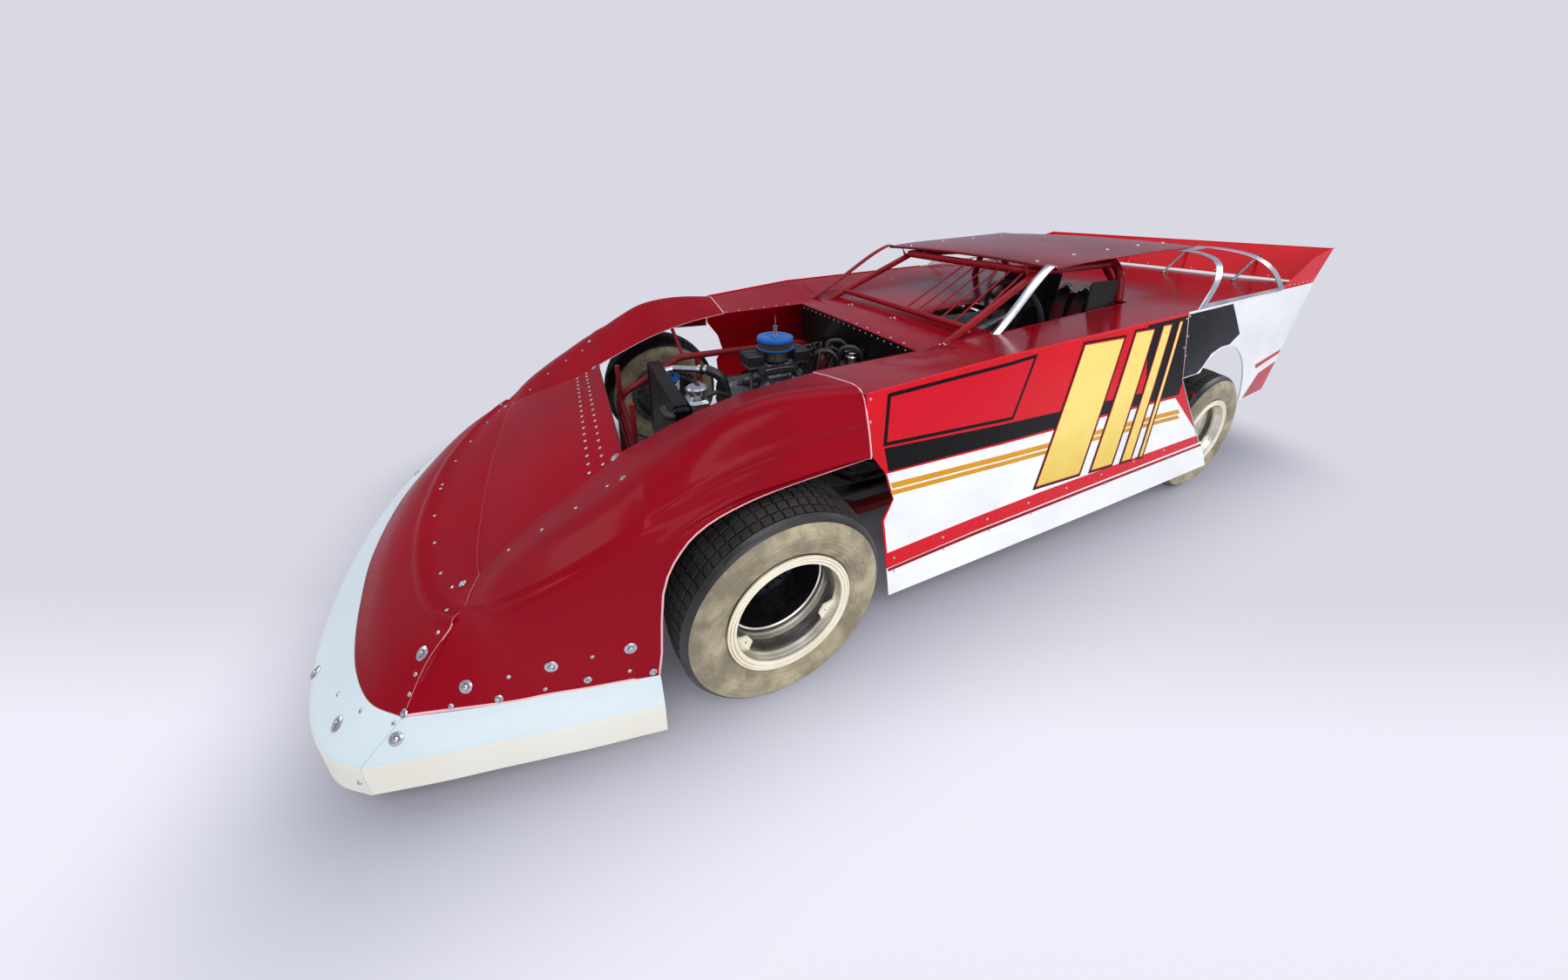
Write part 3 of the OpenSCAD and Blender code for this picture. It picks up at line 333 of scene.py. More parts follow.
class Shape:
    """Vertices and faces gathered from simple forms, in millimetres."""

    def __init__(self):
        self.verts, self.faces, self.slots = [], [], []

    def add(self, verts, faces, slot=0):
        base = len(self.verts)
        self.verts += [tuple(v) for v in verts]
        self.faces += [[i + base for i in f] for f in faces]
        self.slots += [slot] * len(faces)

    def mirrored(self):
        """The same forms again, on the other side of the car."""
        base = len(self.verts)
        self.verts += [(x, -y, z) for x, y, z in self.verts]
        self.faces += [[i + base for i in reversed(f)] for f in self.faces]
        self.slots += self.slots
        return self

    def grid(self, rows, thick=0, slot=0, edge=None, closed=False):
        """A sheet through rows of points, given a thickness below it."""
        r, c = len(rows), len(rows[0])
        top = [p for row in rows for p in row]
        cells = [(i * c + j, i * c + (j + 1) % c, ((i + 1) % r) * c + (j + 1) % c, ((i + 1) % r) * c + j)
                 for i in range(r - 1) for j in range(c if closed else c - 1)]
        if not thick:
            self.add(top, cells, slot)
            return
        low = []
        for i in range(r):
            for j in range(c):
                a = Vector(rows[min(i + 1, r - 1)][j]) - Vector(rows[max(i - 1, 0)][j])
                b = Vector(rows[i][min(j + 1, c - 1)]) - Vector(rows[i][max(j - 1, 0)])
                low.append(Vector(rows[i][j]) - a.cross(b).normalized() * thick)
        n = r * c
        self.add(top + low, cells + [tuple(n + k for k in reversed(f)) for f in cells], slot)
        rim = [j for j in range(c)] + [i * c + c - 1 for i in range(1, r)]
        rim += [(r - 1) * c + j for j in range(c - 2, -1, -1)] + [i * c for i in range(r - 2, 0, -1)]
        base = len(self.verts) - 2 * n
        for k, a in enumerate(rim):
            b = rim[(k + 1) % len(rim)]
            self.faces.append([base + b, base + a, base + n + a, base + n + b])
            self.slots.append(slot if edge is None else edge)

    def lathe(self, profile, centre, axis, steps=32, slot=0, closed=False):
        """A profile of (radius, distance along the axis) turned round an axis."""
        w = Vector(axis).normalized()
        u = w.orthogonal().normalized()
        v = w.cross(u)
        c = Vector(centre)
        rows = [[c + w * h + (u * math.cos(math.tau * k / steps) + v * math.sin(math.tau * k / steps)) * r
                 for k in range(steps)] for r, h in profile]
        if closed:
            rows.append(rows[0])
        self.grid(rows, 0, slot, closed=True)

    def tube(self, points, radius, bend=0, sides=14, slot=0, steps=5):
        """A round tube along points, with its corners bent to a radius."""
        pts = [Vector(p) for p in points]
        path = [pts[0]]
        for a, b, c in zip(pts, pts[1:], pts[2:]):
            d, e = (a - b), (c - b)
            turn = d.angle(e)
            if not bend or turn > 3.1:
                path.append(b)
                continue
            reach = min(bend / math.tan(turn / 2), d.length * 0.45, e.length * 0.45)
            p, q = b + d.normalized() * reach, b + e.normalized() * reach
            path += [p.lerp(b, t).lerp(b.lerp(q, t), t) for t in (k / steps for k in range(steps + 1))]
        path.append(pts[-1])
        path = [p for k, p in enumerate(path) if k == 0 or (p - path[k - 1]).length > 0.01]
        side = (path[1] - path[0]).orthogonal().normalized()
        rows = []
        for k, p in enumerate(path):
            ahead = path[min(k + 1, len(path) - 1)] - path[max(k - 1, 0)]
            side = (side - ahead * side.dot(ahead) / ahead.length_squared).normalized()
            other = ahead.normalized().cross(side)
            rows.append([p + (side * math.cos(math.tau * s / sides)
                              + other * math.sin(math.tau * s / sides)) * radius
                         for s in range(sides)])
        self.grid(rows, 0, slot, closed=True)
        base = len(self.verts) - len(rows) * sides
        self.faces += [list(range(base, base + sides))[::-1],
                       list(range(len(self.verts) - sides, len(self.verts)))]
        self.slots += [slot, slot]

    def block(self, low, high, cut=2, slot=0, place=None):
        """A block with its edges cut, between two corners, moved by place."""
        lo, hi = Vector(low), Vector(high)
        mid, half = (lo + hi) / 2, (hi - lo) / 2
        cut = min(cut, *(h * 0.9 for h in half))
        rows = []
        for z, inset in ((-half.z, cut), (-half.z + cut, 0), (half.z - cut, 0), (half.z, cut)):
            x, y = half.x - inset, half.y - inset
            k = cut if inset == 0 else cut * 0.4
            ring = [(x - k, -y), (x, -y + k), (x, y - k), (x - k, y), (-x + k, y), (-x, y - k),
                    (-x, -y + k), (-x + k, -y)]
            rows.append([Vector((a, b, z)) for a, b in ring])
        rows = [[place(mid + p) if place else mid + p for p in row] for row in rows]
        self.grid(rows, 0, slot, closed=True)
        base = len(self.verts) - 32
        self.faces += [list(range(base, base + 8))[::-1], list(range(base + 24, base + 32))]
        self.slots += [slot, slot]

    def beside(self, low, high, side, cut=2, slot=0):
        """A block on one side of the car, with its corners given for the left side."""
        near, far = sorted((low[1] * side, high[1] * side))
        self.block((low[0], near, low[2]), (high[0], far, high[2]), cut, slot)

    def across(self, x, y, z, radius, bend=0, sides=14, slot=0):
        """A straight tube from one side of the car to the other."""
        self.tube([(x, -y, z), (x, y, z)], radius, bend, sides, slot)

    def bush(self, centre, axis, radius, half, slot=1):
        """A short sleeve with its edges cut."""
        self.lathe([(radius - 1, -half), (radius, 2 - half), (radius, half - 2), (radius - 1, half)],
                   centre, axis,
                   20, slot)

    def head(self, centre, normal, radius, rise, slot=0, steps=12):
        """A domed rivet or bolt head."""
        c, n = Vector(centre), Vector(normal).normalized()
        self.lathe([(radius, -0.6), (radius, rise * 0.2), (radius * 0.86, rise * 0.6),
                    (radius * 0.5, rise * 0.92),
                    (radius * 0.05, rise)], c, n, steps, slot)

    def bolt(self, centre, normal, radius, slot=0):
        """A washer with a hexagon or countersunk head in it."""
        c, n = Vector(centre), Vector(normal).normalized()
        self.lathe([(radius, -0.8), (radius, 1.2), (radius * 0.8, 3.2), (radius * 0.52, 3.4),
                    (radius * 0.46, 2.2)],
                   c, n, 24, slot)
        self.lathe([(radius * 0.46, 2), (radius * 0.44, 4.6), (radius * 0.3, 6.2), (radius * 0.02, 6.6)], c,
                   n, 6, slot)

    def sheet(self, outline, place, thick=0.0, slot=0, lift=0.0, pitch=60):
        """A sheet or film with an outline, laid on a surface by place(a, b, lift). All are
        cut along the same lines, so that a film stays parallel to its sheet."""
        work = bmesh.new()
        face = work.faces.new([work.verts.new((a, b, 0)) for a, b in outline])
        face.normal_update()
        bmesh.ops.triangulate(work, faces=[face])
        for k in (0, 1):
            low, high = min(p[k] for p in outline), max(p[k] for p in outline)
            across = Vector((k == 0, k == 1, 0))
            for n in range(math.floor(low / pitch) + 1, math.ceil(high / pitch)):
                bmesh.ops.bisect_plane(work, geom=work.verts[:] + work.edges[:] + work.faces[:],
                                       plane_co=across * (n * pitch), plane_no=across)
        work.verts.index_update()
        flat = [v.co.copy() for v in work.verts]
        cells = [[v.index for v in f.verts] for f in work.faces]
        rim = [[v.index for v in e.verts] for e in work.edges if e.is_boundary]
        work.free()
        top = [place(p.x, p.y, lift) for p in flat]
        n = len(top)
        if not thick:
            self.add(top, cells, slot)
            return
        self.add(top + [place(p.x, p.y, lift - thick) for p in flat],
                 cells + [[n + k for k in reversed(c)] for c in cells] + [[a, b, n + b, n + a] for a,
                     b in rim], slot)


def make(shape, name, body, materials, replaces=(), smooth=35, centre=(0, 0, 0)):
    """Turns a shape into an object that rides on a body, with its origin at a centre."""
    mesh = bpy.data.meshes.new(name)
    a, b, c = centre
    mesh.from_pydata([((x - a) * MM, (y - b) * MM, (z - c) * MM) for x, y, z in shape.verts], [],
                     shape.faces)
    for material in materials:
        mesh.materials.append(STORE[material])
    mesh.polygons.foreach_set("material_index", shape.slots)
    mesh.polygons.foreach_set("use_smooth", [True] * len(shape.faces))
    mesh.validate()
    mesh.update()
    work = bmesh.new()
    work.from_mesh(mesh)
    bmesh.ops.remove_doubles(work, verts=work.verts, dist=0.00002)
    bmesh.ops.recalc_face_normals(work, faces=work.faces)
    work.to_mesh(mesh)
    work.free()
    mesh.set_sharp_from_angle(angle=math.radians(smooth))
    obj = bpy.data.objects.new(name, mesh)
    obj.location = Vector(centre) * MM
    bpy.context.scene.collection.objects.link(obj)
    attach(obj, body)
    if replaces:
        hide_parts(*replaces)
    return obj


def spline(p, t):
    """Point on a smooth curve through a list of points, at place t."""
    i = min(int(t), len(p) - 2)
    f = t - i
    a, b, c, d = p[max(i - 1, 0)], p[i], p[i + 1], p[min(i + 2, len(p) - 1)]
    if i == 0:
        a = b * 2 - c
    if i == len(p) - 2:
        d = c * 2 - b
    return 0.5 * (2 * b + (c - a) * f + (2 * a - 5 * b + 4 * c - d) * f * f
                  + (3 * b - 3 * c + d - a) * f ** 3)


def loft(rows, us, vs):
    """Smooth grid of points through rows of points."""
    columns = list(zip(*rows))
    return [[spline(cross, v) for v in vs] for cross in ([spline(list(col),
        u) for col in columns] for u in us)]


def steps(a, b, n):
    """Numbers from a to b in n equal steps."""
    return [a + (b - a) * k / n for k in range(n + 1)]


def normals(rows):
    """Unit normals at the points of a grid."""
    r, c = len(rows), len(rows[0])
    return [[(rows[min(i + 1, r - 1)][j] - rows[max(i - 1, 0)][j]).cross(
        rows[i][min(j + 1, c - 1)] - rows[i][max(j - 1, 0)]).normalized() for j in range(c)]
        for i in range(r)]


def raised(rows, lift):
    """The grid moved along its normals by lift(i, j)."""
    return [[p + n * lift(i, j) for j, (p, n) in enumerate(zip(row, nrow))]
            for i, (row, nrow) in enumerate(zip(rows, normals(rows)))]


def along(table, x, k=1):
    """Value at x in a table of rows that falls in x."""
    for a, b in zip(table, table[1:]):
        if x >= b[0]:
            break
    return a[k] + (a[0] - x) / (a[0] - b[0]) * (b[k] - a[k])


def flip(p):
    """The point on the other side of the car."""
    return Vector((p[0], -p[1], p[2]))


def other_side(rows):
    """The grid on the other side of the car, in an order that still faces out."""
    return [[flip(p) for p in row] for row in reversed(rows)]


def bell(x, middle, width):
    """Smooth hump of height 1."""
    return math.exp(-((x - middle) / width) ** 2)


# Lines and sections of the body, in millimetres, some of them from the front axle



TOP_LINE = [(870, 945, 905), (250, 1010, 938), (-1250, 1075, 938), (-2490, 1120, 915)]
DECK_DROP = [(870, 40), (330, 78), (-100, 60), (-1140, 30), (-2490, 15)]
STRIP_LINE = [(870, 252, 988), (330, 286, 1000), (-500, 337, 1040), (-1220, 381, 1076)]
SKIRT_LINE = [(870, 137, 1001), (330, 161, 1028), (-500, 198, 1068), (-1290, 234, 1100)]
QUARTER_LOW = [(-1000, 1046), (-1250, 1021), (-1453, 1000), (-1900, 968), (-2490, 930)]
FENDER = [
    (-353, (555, 905), (720, 938), (868, 952), (922, 862), (957, 752), (950, 733)),
    (-173, (548, 880), (710, 930), (855, 966), (928, 856), (972, 757), (966, 733)),
    (-22, (532, 850), (700, 915), (850, 960), (937, 844), (985, 757), (982, 734)),
    (107, (522, 812), (690, 880), (850, 932), (945, 826), (992, 752), (995, 726)),
    (227, (512, 765), (680, 830), (848, 872), (952, 795), (996, 725), (1004, 696)),
    (307, (506, 730), (675, 787), (843, 823), (956, 766), (998, 696), (1014, 640)),
    (364, (502, 706), (670, 763), (838, 797), (957, 748), (997, 675), (1026, 530)),
    (396, (500, 690), (668, 741), (834, 775), (958, 735), (996, 663), (1040, 262)),
    (467, (515, 650), (675, 695), (828, 733), (955, 700), (990, 628), (1030, 272)),
    (577, (545, 600), (680, 640), (812, 668), (932, 640), (974, 585), (1008, 278)),
    (677, (585, 560), (690, 588), (795, 608), (900, 585), (948, 546), (985, 283)),
    (777, (630, 515), (705, 530), (785, 540), (850, 525), (900, 495), (965, 287)),
]
FENDER_TIP = [(840, 670, 479), (846, 700, 475), (854, 735, 469), (866, 762, 461), (886, 790, 448),
              (1009, 898, 291)]
NOSE = [
    ((1277, 0, 290), (1093, 0, 412), (887, 0, 466)),
    ((1269, 200, 290), (1087, 190, 412), (885, 180, 466)),
    ((1242, 380, 290), (1065, 360, 412), (877, 360, 468)),
    ((1205, 560, 290), (1029, 520, 415), (866, 520, 472)),
    ((1162, 700, 290), (982, 655, 422), (855, 610, 475)),
    ((1099, 818, 290), (937, 735, 435), (847, 650, 477)),
    ((1012, 897, 290), (888, 790, 447), (842, 670, 478)),
]
VALANCE = [
    ((1387, 0), (1277, 0, 290)), ((1381, 200), (1269, 200, 290)), ((1359, 400), (1242, 380, 290)),
    ((1322, 580), (1205, 560, 290)), ((1272, 730), (1162, 700, 290)), ((1202, 848), (1099, 818, 290)),
    ((1112, 920), (1012, 897, 290)), ((960, 960), (895, 934, 288)), ((827, 990), (777, 965, 287)),
    ((690, 1022), (677, 985, 283)), ((577, 1048), (577, 1008, 278)), ((467, 1070), (467, 1030, 272)),
    ((396, 1085), (396, 1040, 262)),
]
VALANCE_LOW = 95
VALANCE_FACE = 105
PANEL_RISE = (10, 12, 10, 8, 2, -12)


def top_z(x):
    return along(TOP_LINE, x, 1)


def top_y(x):
    return along(TOP_LINE, x, 2)


def deck_z(x):
    return top_z(x) - along(DECK_DROP, x)


def on_door(x, z, lift):
    """Point on the outside of the left door."""
    low, high = along(STRIP_LINE, x, 1), top_z(x)
    t = (z - low) / (high - low)
    return Vector((x, along(STRIP_LINE, x, 2) * (1 - t) + top_y(x) * t + lift, z))


def on_quarter(x, z, lift):
    """Point on the outside of the left quarter panel."""
    t = (z - 461) / (top_z(x) + 3 - 461)
    return Vector((x, along(QUARTER_LOW, x) * (1 - t) + top_y(x) * t + lift, z))


def on_skirt(x, z, lift):
    """Point on the outside of the left skirt."""
    low, high = along(SKIRT_LINE, x, 1), along(STRIP_LINE, x, 1)
    t = (z - low) / (high - low)
    return Vector((x, along(SKIRT_LINE, x, 2) * (1 - t) + along(STRIP_LINE, x, 2) * t + lift, z))


def ahead(p):
    """Point given from the front axle."""
    return Vector((AX_F + p[0], p[1], p[2]))


# Places read off the photograph, for the fasteners

def view_axes():
    """Right, up and ahead of the photograph's camera."""
    yaw, pitch, roll = (math.radians(a) for a in HEADING)
    look = Vector((math.cos(pitch) * math.cos(yaw), math.cos(pitch) * math.sin(yaw), math.sin(pitch)))
    right = look.cross(Vector(UP)).normalized()
    up = right.cross(look)
    return (right * math.cos(roll) + up * math.sin(roll), up * math.cos(roll) - right * math.sin(roll),
            look)


def surface_of(name):
    """A tree of the faces of an object, in millimetres."""
    mesh = bpy.data.objects[name].data
    return BVHTree.FromPolygons([v.co / MM for v in mesh.vertices],
                                [tuple(f.vertices) for f in mesh.polygons])


def seen_at(x, y, tree):
    """Point and outward normal where the line through a pixel meets a surface."""
    right, up, look = view_axes()
    ray = (right * (x - CENTRE[0]) + up * (CENTRE[1] - y) + look * FOCAL).normalized()
    place, normal = tree.ray_cast(EYE / MM, ray)[:2]
    if place is None:
        return None
    return place, (-normal if normal.dot(ray) > 0 else normal)


# Moulded nose

def fender_rows():
    """Cross sections of the left fender, from the rear to the tip at the nose."""
    rows = [[Vector((AX_F + s[0], y, z)) for y, z in s[1:]] for s in FENDER]
    return rows + [[ahead(p) for p in FENDER_TIP]]


def fender_grid():
    """The left fender, with its crown, its two creases and the rolled wheel lip."""
    vs = sorted(set(round(v, 3) for v in steps(0, 5, 30) + [2.86, 2.95, 3.0, 3.05, 3.12, 3.9, 3.96, 4.0,
                                                            4.05, 4.12,
                                                          4.9, 4.95]))
    us = steps(0, 12, 72)
    rows = loft(fender_rows(), us, vs)

    def lift(i, j):
        u, v = us[i], vs[j]
        tail = max(0.0, 1 - u / 7.5)
        front = max(0.0, min(1.0, (u - 6) / 3))
        mid = 9 * tail * bell(v, 3, 0.11) - 8 * tail * bell(v, 3.2, 0.14)
        low = 9 * tail * bell(v, 4, 0.09) - 9 * tail * bell(v, 4.16, 0.09)
        shelf = front * (5 * bell(v, 3.05, 0.16) - 6 * bell(v, 3.4, 0.2))
        edge = min(1.0, u / 0.4, (12 - u) / 0.6)
        return (mid + low + shelf) * edge
    return raised(rows, lift)


def nose_rows():
    """Cross sections of the nose, from its right end to its left end."""
    def side(s):
        e, r, b = ahead(s[0]), ahead(s[1]), ahead(s[2])
        return [e, (e + r) / 2 + Vector((8, 0, 12)), r, b]
    left = [side(s) for s in NOSE]
    return other_side(left[1:]) + left


def nose_grid():
    """The nose, with the bead along its crease."""
    us, vs = steps(0, 12, 72), sorted(set(steps(0, 3, 24) + [1.8, 1.88, 1.94, 2.0, 2.06, 2.12, 2.2]))
    rows = loft(nose_rows(), us, vs)

    def lift(i, j):
        v = vs[j]
        bead = 9 * bell(v, 2.0, 0.12) - 5 * bell(v, 2.32, 0.16)
        return bead * min(1.0, v / 0.4, (3 - v) / 0.4)
    return raised(rows, lift)


def panel_grid():
    """The top panel between the fenders, crowned towards its middle."""
    rows = []
    for k in range(6):
        last = k == 5
        base = FENDER_TIP[0] if last else (FENDER[7 + k][0], *FENDER[7 + k][1])
        p = ahead(base)
        rows.append([Vector((p.x + (45 * (1 - s * s) - 0.5 if last else 0), (p.y - 0.5) * s,
                             p.z + PANEL_RISE[k] * (1 - s * s))) for s in steps(-1, 1, 8)])
    return loft(rows, steps(0, 5, 30), steps(0, 8, 48))


def valance_row(s):
    """Cross section of the valance: up its face, round the corner and in along its shelf."""
    o = Vector((AX_F + s[0][0], s[0][1], VALANCE_LOW))
    i = ahead(s[1])
    t = o + Vector((0, 0, VALANCE_FACE))
    u = (t - i).normalized()
    i = i + u * 1.5
    face = [o + Vector((0, 0, VALANCE_FACE * f)) for f in (0, 0.04, 0.3, 0.6, 0.86, 0.93)]
    inward = (i - t)
    top = [t + inward * f for f in (0.05, 0.12, 0.3, 0.5, 0.7, 0.86, 0.95, 1.0)]
    corner = t - Vector((0, 0, 4)) + inward * 0.02
    return face + [corner] + top


def valance_grid(first, last):
    """The valance between two of its sections."""
    rows = [valance_row(s) for s in VALANCE[first:last + 1]]
    return loft(rows, steps(0, len(rows) - 1, (len(rows) - 1) * 6), list(range(len(rows[0]))))


class OVAL_OT_nose(bpy.types.Operator):
    """Makes the moulded nose, the fenders, the panel between them and the white valance"""
    bl_idname = "oval_car.nose"
    bl_label = "Moulded nose"

    def execute(self, context):
        fender, nose, panel = fender_grid(), nose_grid(), panel_grid()
        for side, name in ((1, "left"), (-1, "right")):
            s = Shape()
            rows = fender if side > 0 else other_side(fender)
            # The edge faces, and the beads along the rear edge and the wheel lip, take slot 1: a pale
            # painted highlight along those edges
            s.grid(rows, 5, edge=1)
            rear = rows[0] if side > 0 else rows[-1]
            s.tube([p + Vector((-1, 0, -1)) for p in rear[::2]], 3.4, 0, 8, 1)
            s.tube([row[-1] + Vector((0, -2 * side, 1)) for row in rows[::2]], 3.4, 0, 8, 1)
            make(s, f"moulded_fender_{name}", "chassis", ["plastic", "painted edge highlight"],
                 [f"fender_{name}"], 50)
        s = Shape()
        # The nose's edge faces take slot 1, the pale painted highlight
        s.grid(nose, 5, edge=1)
        make(s, "moulded_nose", "chassis", ["plastic", "painted edge highlight"], ["nose_cover"], 50)
        s = Shape()
        tip, back = fender[-1][::-1], fender[-4][::-1]
        wide = 14

        def along_edge(row, t):
            return spline(row, t * (len(row) - 1))
        rows = []
        down = Vector((-2, -1, -3))
        for t in steps(0, 1, 40):
            a, b = along_edge(nose[-4], t), along_edge(nose[-1], t)
            near = min(steps(0, 1, 60), key=lambda q: (along_edge(tip, q) - b).length)
            c, d = along_edge(tip, near), along_edge(back, near)
            rows.append([b + (a - b).normalized() * wide + down, b + down * 0.4, c + down * 0.4,
                         c + (d - c).normalized() * wide + down])
        s.grid(rows)
        s.mirrored()
        rows = []
        down = Vector((0, 0, -2.5))
        for row in nose:
            a, b = row[-4], row[-1]
            near = min(panel[-1], key=lambda q: (q - b).length)
            rows.append([b + (a - b).normalized() * wide + down, b + down * 0.4, near + down * 0.4,
                         near + Vector((-wide, 0, 2)) + down])
        s.grid(rows[6:-6])
        make(s, "nose_joint_strips", "chassis", ["plastic"], (), 60)
        s = Shape()
        s.grid(panel, 3)
        make(s, "nose_top_panel", "chassis", ["plastic"], ["nose_panel"], 50)
        n = 6
        left = [valance_row(v) for v in VALANCE[:n + 1]]
        pieces = [loft(other_side(left[1:]) + left, steps(0, 12, 72), list(range(len(left[0]))))]
        tail = valance_grid(n, 12)

        def trough(i, j):
            t = i / (len(tail) - 1)
            return -7 * bell(j, 11, 1.3) * max(0, min(1, t / 0.15, (1 - t) / 0.12))
        tail = [[p + Vector((-2, 0, 0)) for p in row] for row in raised(tail, trough)]
        pieces += [tail, other_side(tail)]
        s = Shape()
        for rows in pieces:
            s.grid(rows, 5)
        for k, f in enumerate(s.faces):
            mid = sum((Vector(s.verts[i]) for i in f), Vector()) / len(f)
            if mid.z < VALANCE_LOW + VALANCE_FACE - 3:
                s.slots[k] = 1
        make(s, "moulded_valance", "chassis", ["white plastic", "cream plastic"],
             ["valance"], 50)
        return {"FINISHED"}


# Side sheets and their films

DOOR_STEPS = [(799, 467), (753, 539), (790, 651), (850, 732), (869.5, 760)]


def edge_line(place_z, xs):
    """Corners along a line whose height depends on x."""
    return [(x, place_z(x)) for x in xs]


def strip_z(x):
    """Height of the joint between door and skirt."""
    return along(STRIP_LINE, x) + 0.5


def door_outline():
    top = edge_line(lambda x: top_z(x) + 3, (869.5, 250, -500, -999.5))
    low = edge_line(strip_z, (-1200, -500, 330, 773.6))
    return DOOR_STEPS + top + [(-999.5, 744)] + low


def quarter_outline():
    arc = [(ARCH_X + ARCH_R * math.cos(a), ARCH_Z + ARCH_R * math.sin(a)) for a in
           (math.radians(d) for d in (178.4, *range(172, 48, -6), 47.3))]
    top = edge_line(lambda x: top_z(x) + 3, (-1000, -1250, -1900, -2480))
    return arc + [(-1000, 744)] + top + [(-2480, 1080), (-2334, 714), (-2220, 480), (-2220, 461)]


def skirt_outline():
    low = edge_line(lambda x: along(SKIRT_LINE, x), (-1290, -500, 330, 763))
    return edge_line(strip_z, (773, 330, -500, -1219)) + low


def bar_shape(front, rear, low, high, slant):
    """A slanted bar between two places along the car."""
    return [(front, low), (front - slant, high), (rear - slant, high), (rear, low)]


def shrunk(outline, by):
    """A convex outline moved inwards."""
    out = []
    n = len(outline)
    area = sum(a[0] * b[1] - b[0] * a[1] for a, b in zip(outline, outline[1:] + outline[:1]))
    turn = 1 if area > 0 else -1
    for k in range(n):
        a, b, c = (Vector(outline[(k + d) % n]) for d in (-1, 0, 1))
        u, v = (b - a).normalized(), (c - b).normalized()
        p, q = Vector((-u.y, u.x)) * turn, Vector((-v.y, v.x)) * turn
        out.append(tuple(b + (p + q) * by / (1 + p.dot(q))))
    return out


def rivet_line(shape, place, points, pitch, radius, slot):
    """Rivet heads along a line on a surface."""
    for a, b in zip(points, points[1:]):
        a, b = Vector(a), Vector(b)
        n = max(1, round((b - a).length / pitch))
        for k in range(n):
            p = a.lerp(b, k / n)
            c, e, f = place(p.x, p.y, 0), place(p.x - 5, p.y, 0), place(p.x, p.y + 5, 0)
            out = (f - c).cross(e - c)
            shape.head(c, out if out.y > 0 else -out, radius, radius * 0.45, slot, 8)


class OVAL_OT_sides(bpy.types.Operator):
    """Makes the door, quarter and skirt sheets with their printed films, hems and rivets"""
    bl_idname = "oval_car.sides"
    bl_label = "Side sheets"

    def execute(self, context):
        rivet = rivet_radius()
        s = Shape()
        s.sheet(door_outline(), on_door, 4)
        panel = [(800, 752), (187, 746), (84, 1000), (786, 940)]
        s.sheet(panel, on_door, 0, 2, 0.5)
        s.sheet(shrunk(panel, 14), on_door, 0, 3, 0.8)
        s.sheet([(795, 744), (-996, 716), (-975, 668), (776, 653)], on_door, 0, 2, 0.5)
        s.sheet([(782, 646), (-950, 655), (-1186, 424), (-20, 374), (773, 325), (790, 462), (750, 539)],
                on_door,
                0, 1, 0.4)
        for low, high in ((583, 606), (557, 576)):
            s.sheet([(757, low), (-1000, low - 14), (-985, high - 14), (766, high)], on_door, 0, 4, 0.8)
        s.sheet([(-660, 1040), (-996, 1055), (-996, 716), (-700, 716)], on_door, 0, 2, 0.5)
        for front, width, low, high, film in ((25, 300, 394, 1014, 5), (-330, 170, 392, 1030, 5),
                                              (-545, 95, 390, 1038, 5), (-680, 48, 388, 1044, 5)):
            bar = bar_shape(front, front - width, low, high, 0.36 * (high - low))
            s.sheet(bar, on_door, 0, 2, 1.0)
            s.sheet(shrunk(bar, 9), on_door, 0, 3, 1.4)
            s.sheet(shrunk(bar, 15 if width > 60 else 13), on_door, 0, film, 1.8)
        s.sheet([(-999.5, 744), (-1200, 381), (-1190, 381), (-991, 742)], on_door, 0, 7, 0.9)
        rivet_line(s, lambda x, z, lift: on_door(x, strip_z(x) + z, lift), [(740, 34), (-1130, 34)], 232,
                   rivet * 0.9, 7)
        rivet_line(s, on_door, [(853, 930), (853, 770)], 80, rivet * 0.8, 7)
        rivet_line(s, on_door, [(-985, 1040), (-985, 760)], 130, rivet * 0.8, 7)
        s.tube([on_door(x, top_z(x) + 2, -1.5) for x in (866, 250, -500, -998)], 4.5, 0, 8)
        make(s.mirrored(), "door_sheets", "chassis",
             ["body", "white", "black film", "red film", "gold", "pale gold", "body", "bolt"], ["doors"],
             40)

        s = Shape()
        s.sheet(quarter_outline(), on_quarter, 4)
        s.sheet([(-1003, 1060), (-1003, 748), (-1150, 748), (-1200, 768), (-1290, 830), (-1400, 853),
                 (-1500, 853),
                 (-1604, 900), (-1440, 1078)], on_quarter, 0, 1, 0.5)
        s.sheet([(-1900, 465), (-2216, 465), (-2310, 640), (-2060, 600)], on_quarter, 0, 2, 0.6)
        s.sheet([(-1990, 640), (-2318, 690), (-2330, 716), (-1960, 668)], on_quarter, 0, 2, 0.6)
        s.tube([on_quarter(x, top_z(x) + 2, -1.5) for x in (-1002, -1250, -2478)], 4.5, 0, 8)
        s.tube([on_quarter(x, z, -2) for x, z in quarter_outline()[:23]], 4, 0, 8)
        rivet_line(s, on_quarter, [(-1012, 1050), (-1012, 760)], 96, rivet * 0.8, 3)
        rivet_line(s, on_quarter, [(-2205, 478), (-2320, 708), (-2466, 1076)], 120, rivet * 0.8, 3)
        make(s.mirrored(), "quarter_sheets", "chassis",
             ["white", "black film", "red film", "bolt"], ["quarters"], 40)

        s = Shape()
        s.sheet(skirt_outline(), on_skirt, 4)
        s.sheet([(768, 258), (-1215, 372), (-1222, 358), (766, 244)], lambda x, z, lift: on_skirt(
            x, min(z, strip_z(x) - 2), lift), 0, 1, 0.5)
        rivet_line(s, lambda x, z, lift: on_skirt(x, strip_z(x) - z, lift), [(740, 22), (-1180, 22)], 232,
                   rivet * 0.8, 2)
        make(s.mirrored(), "skirt_sheets", "chassis", ["white", "red film", "bolt"],
             ["rocker_skirts"], 40)
        return {"FINISHED"}


# Decks and spoiler

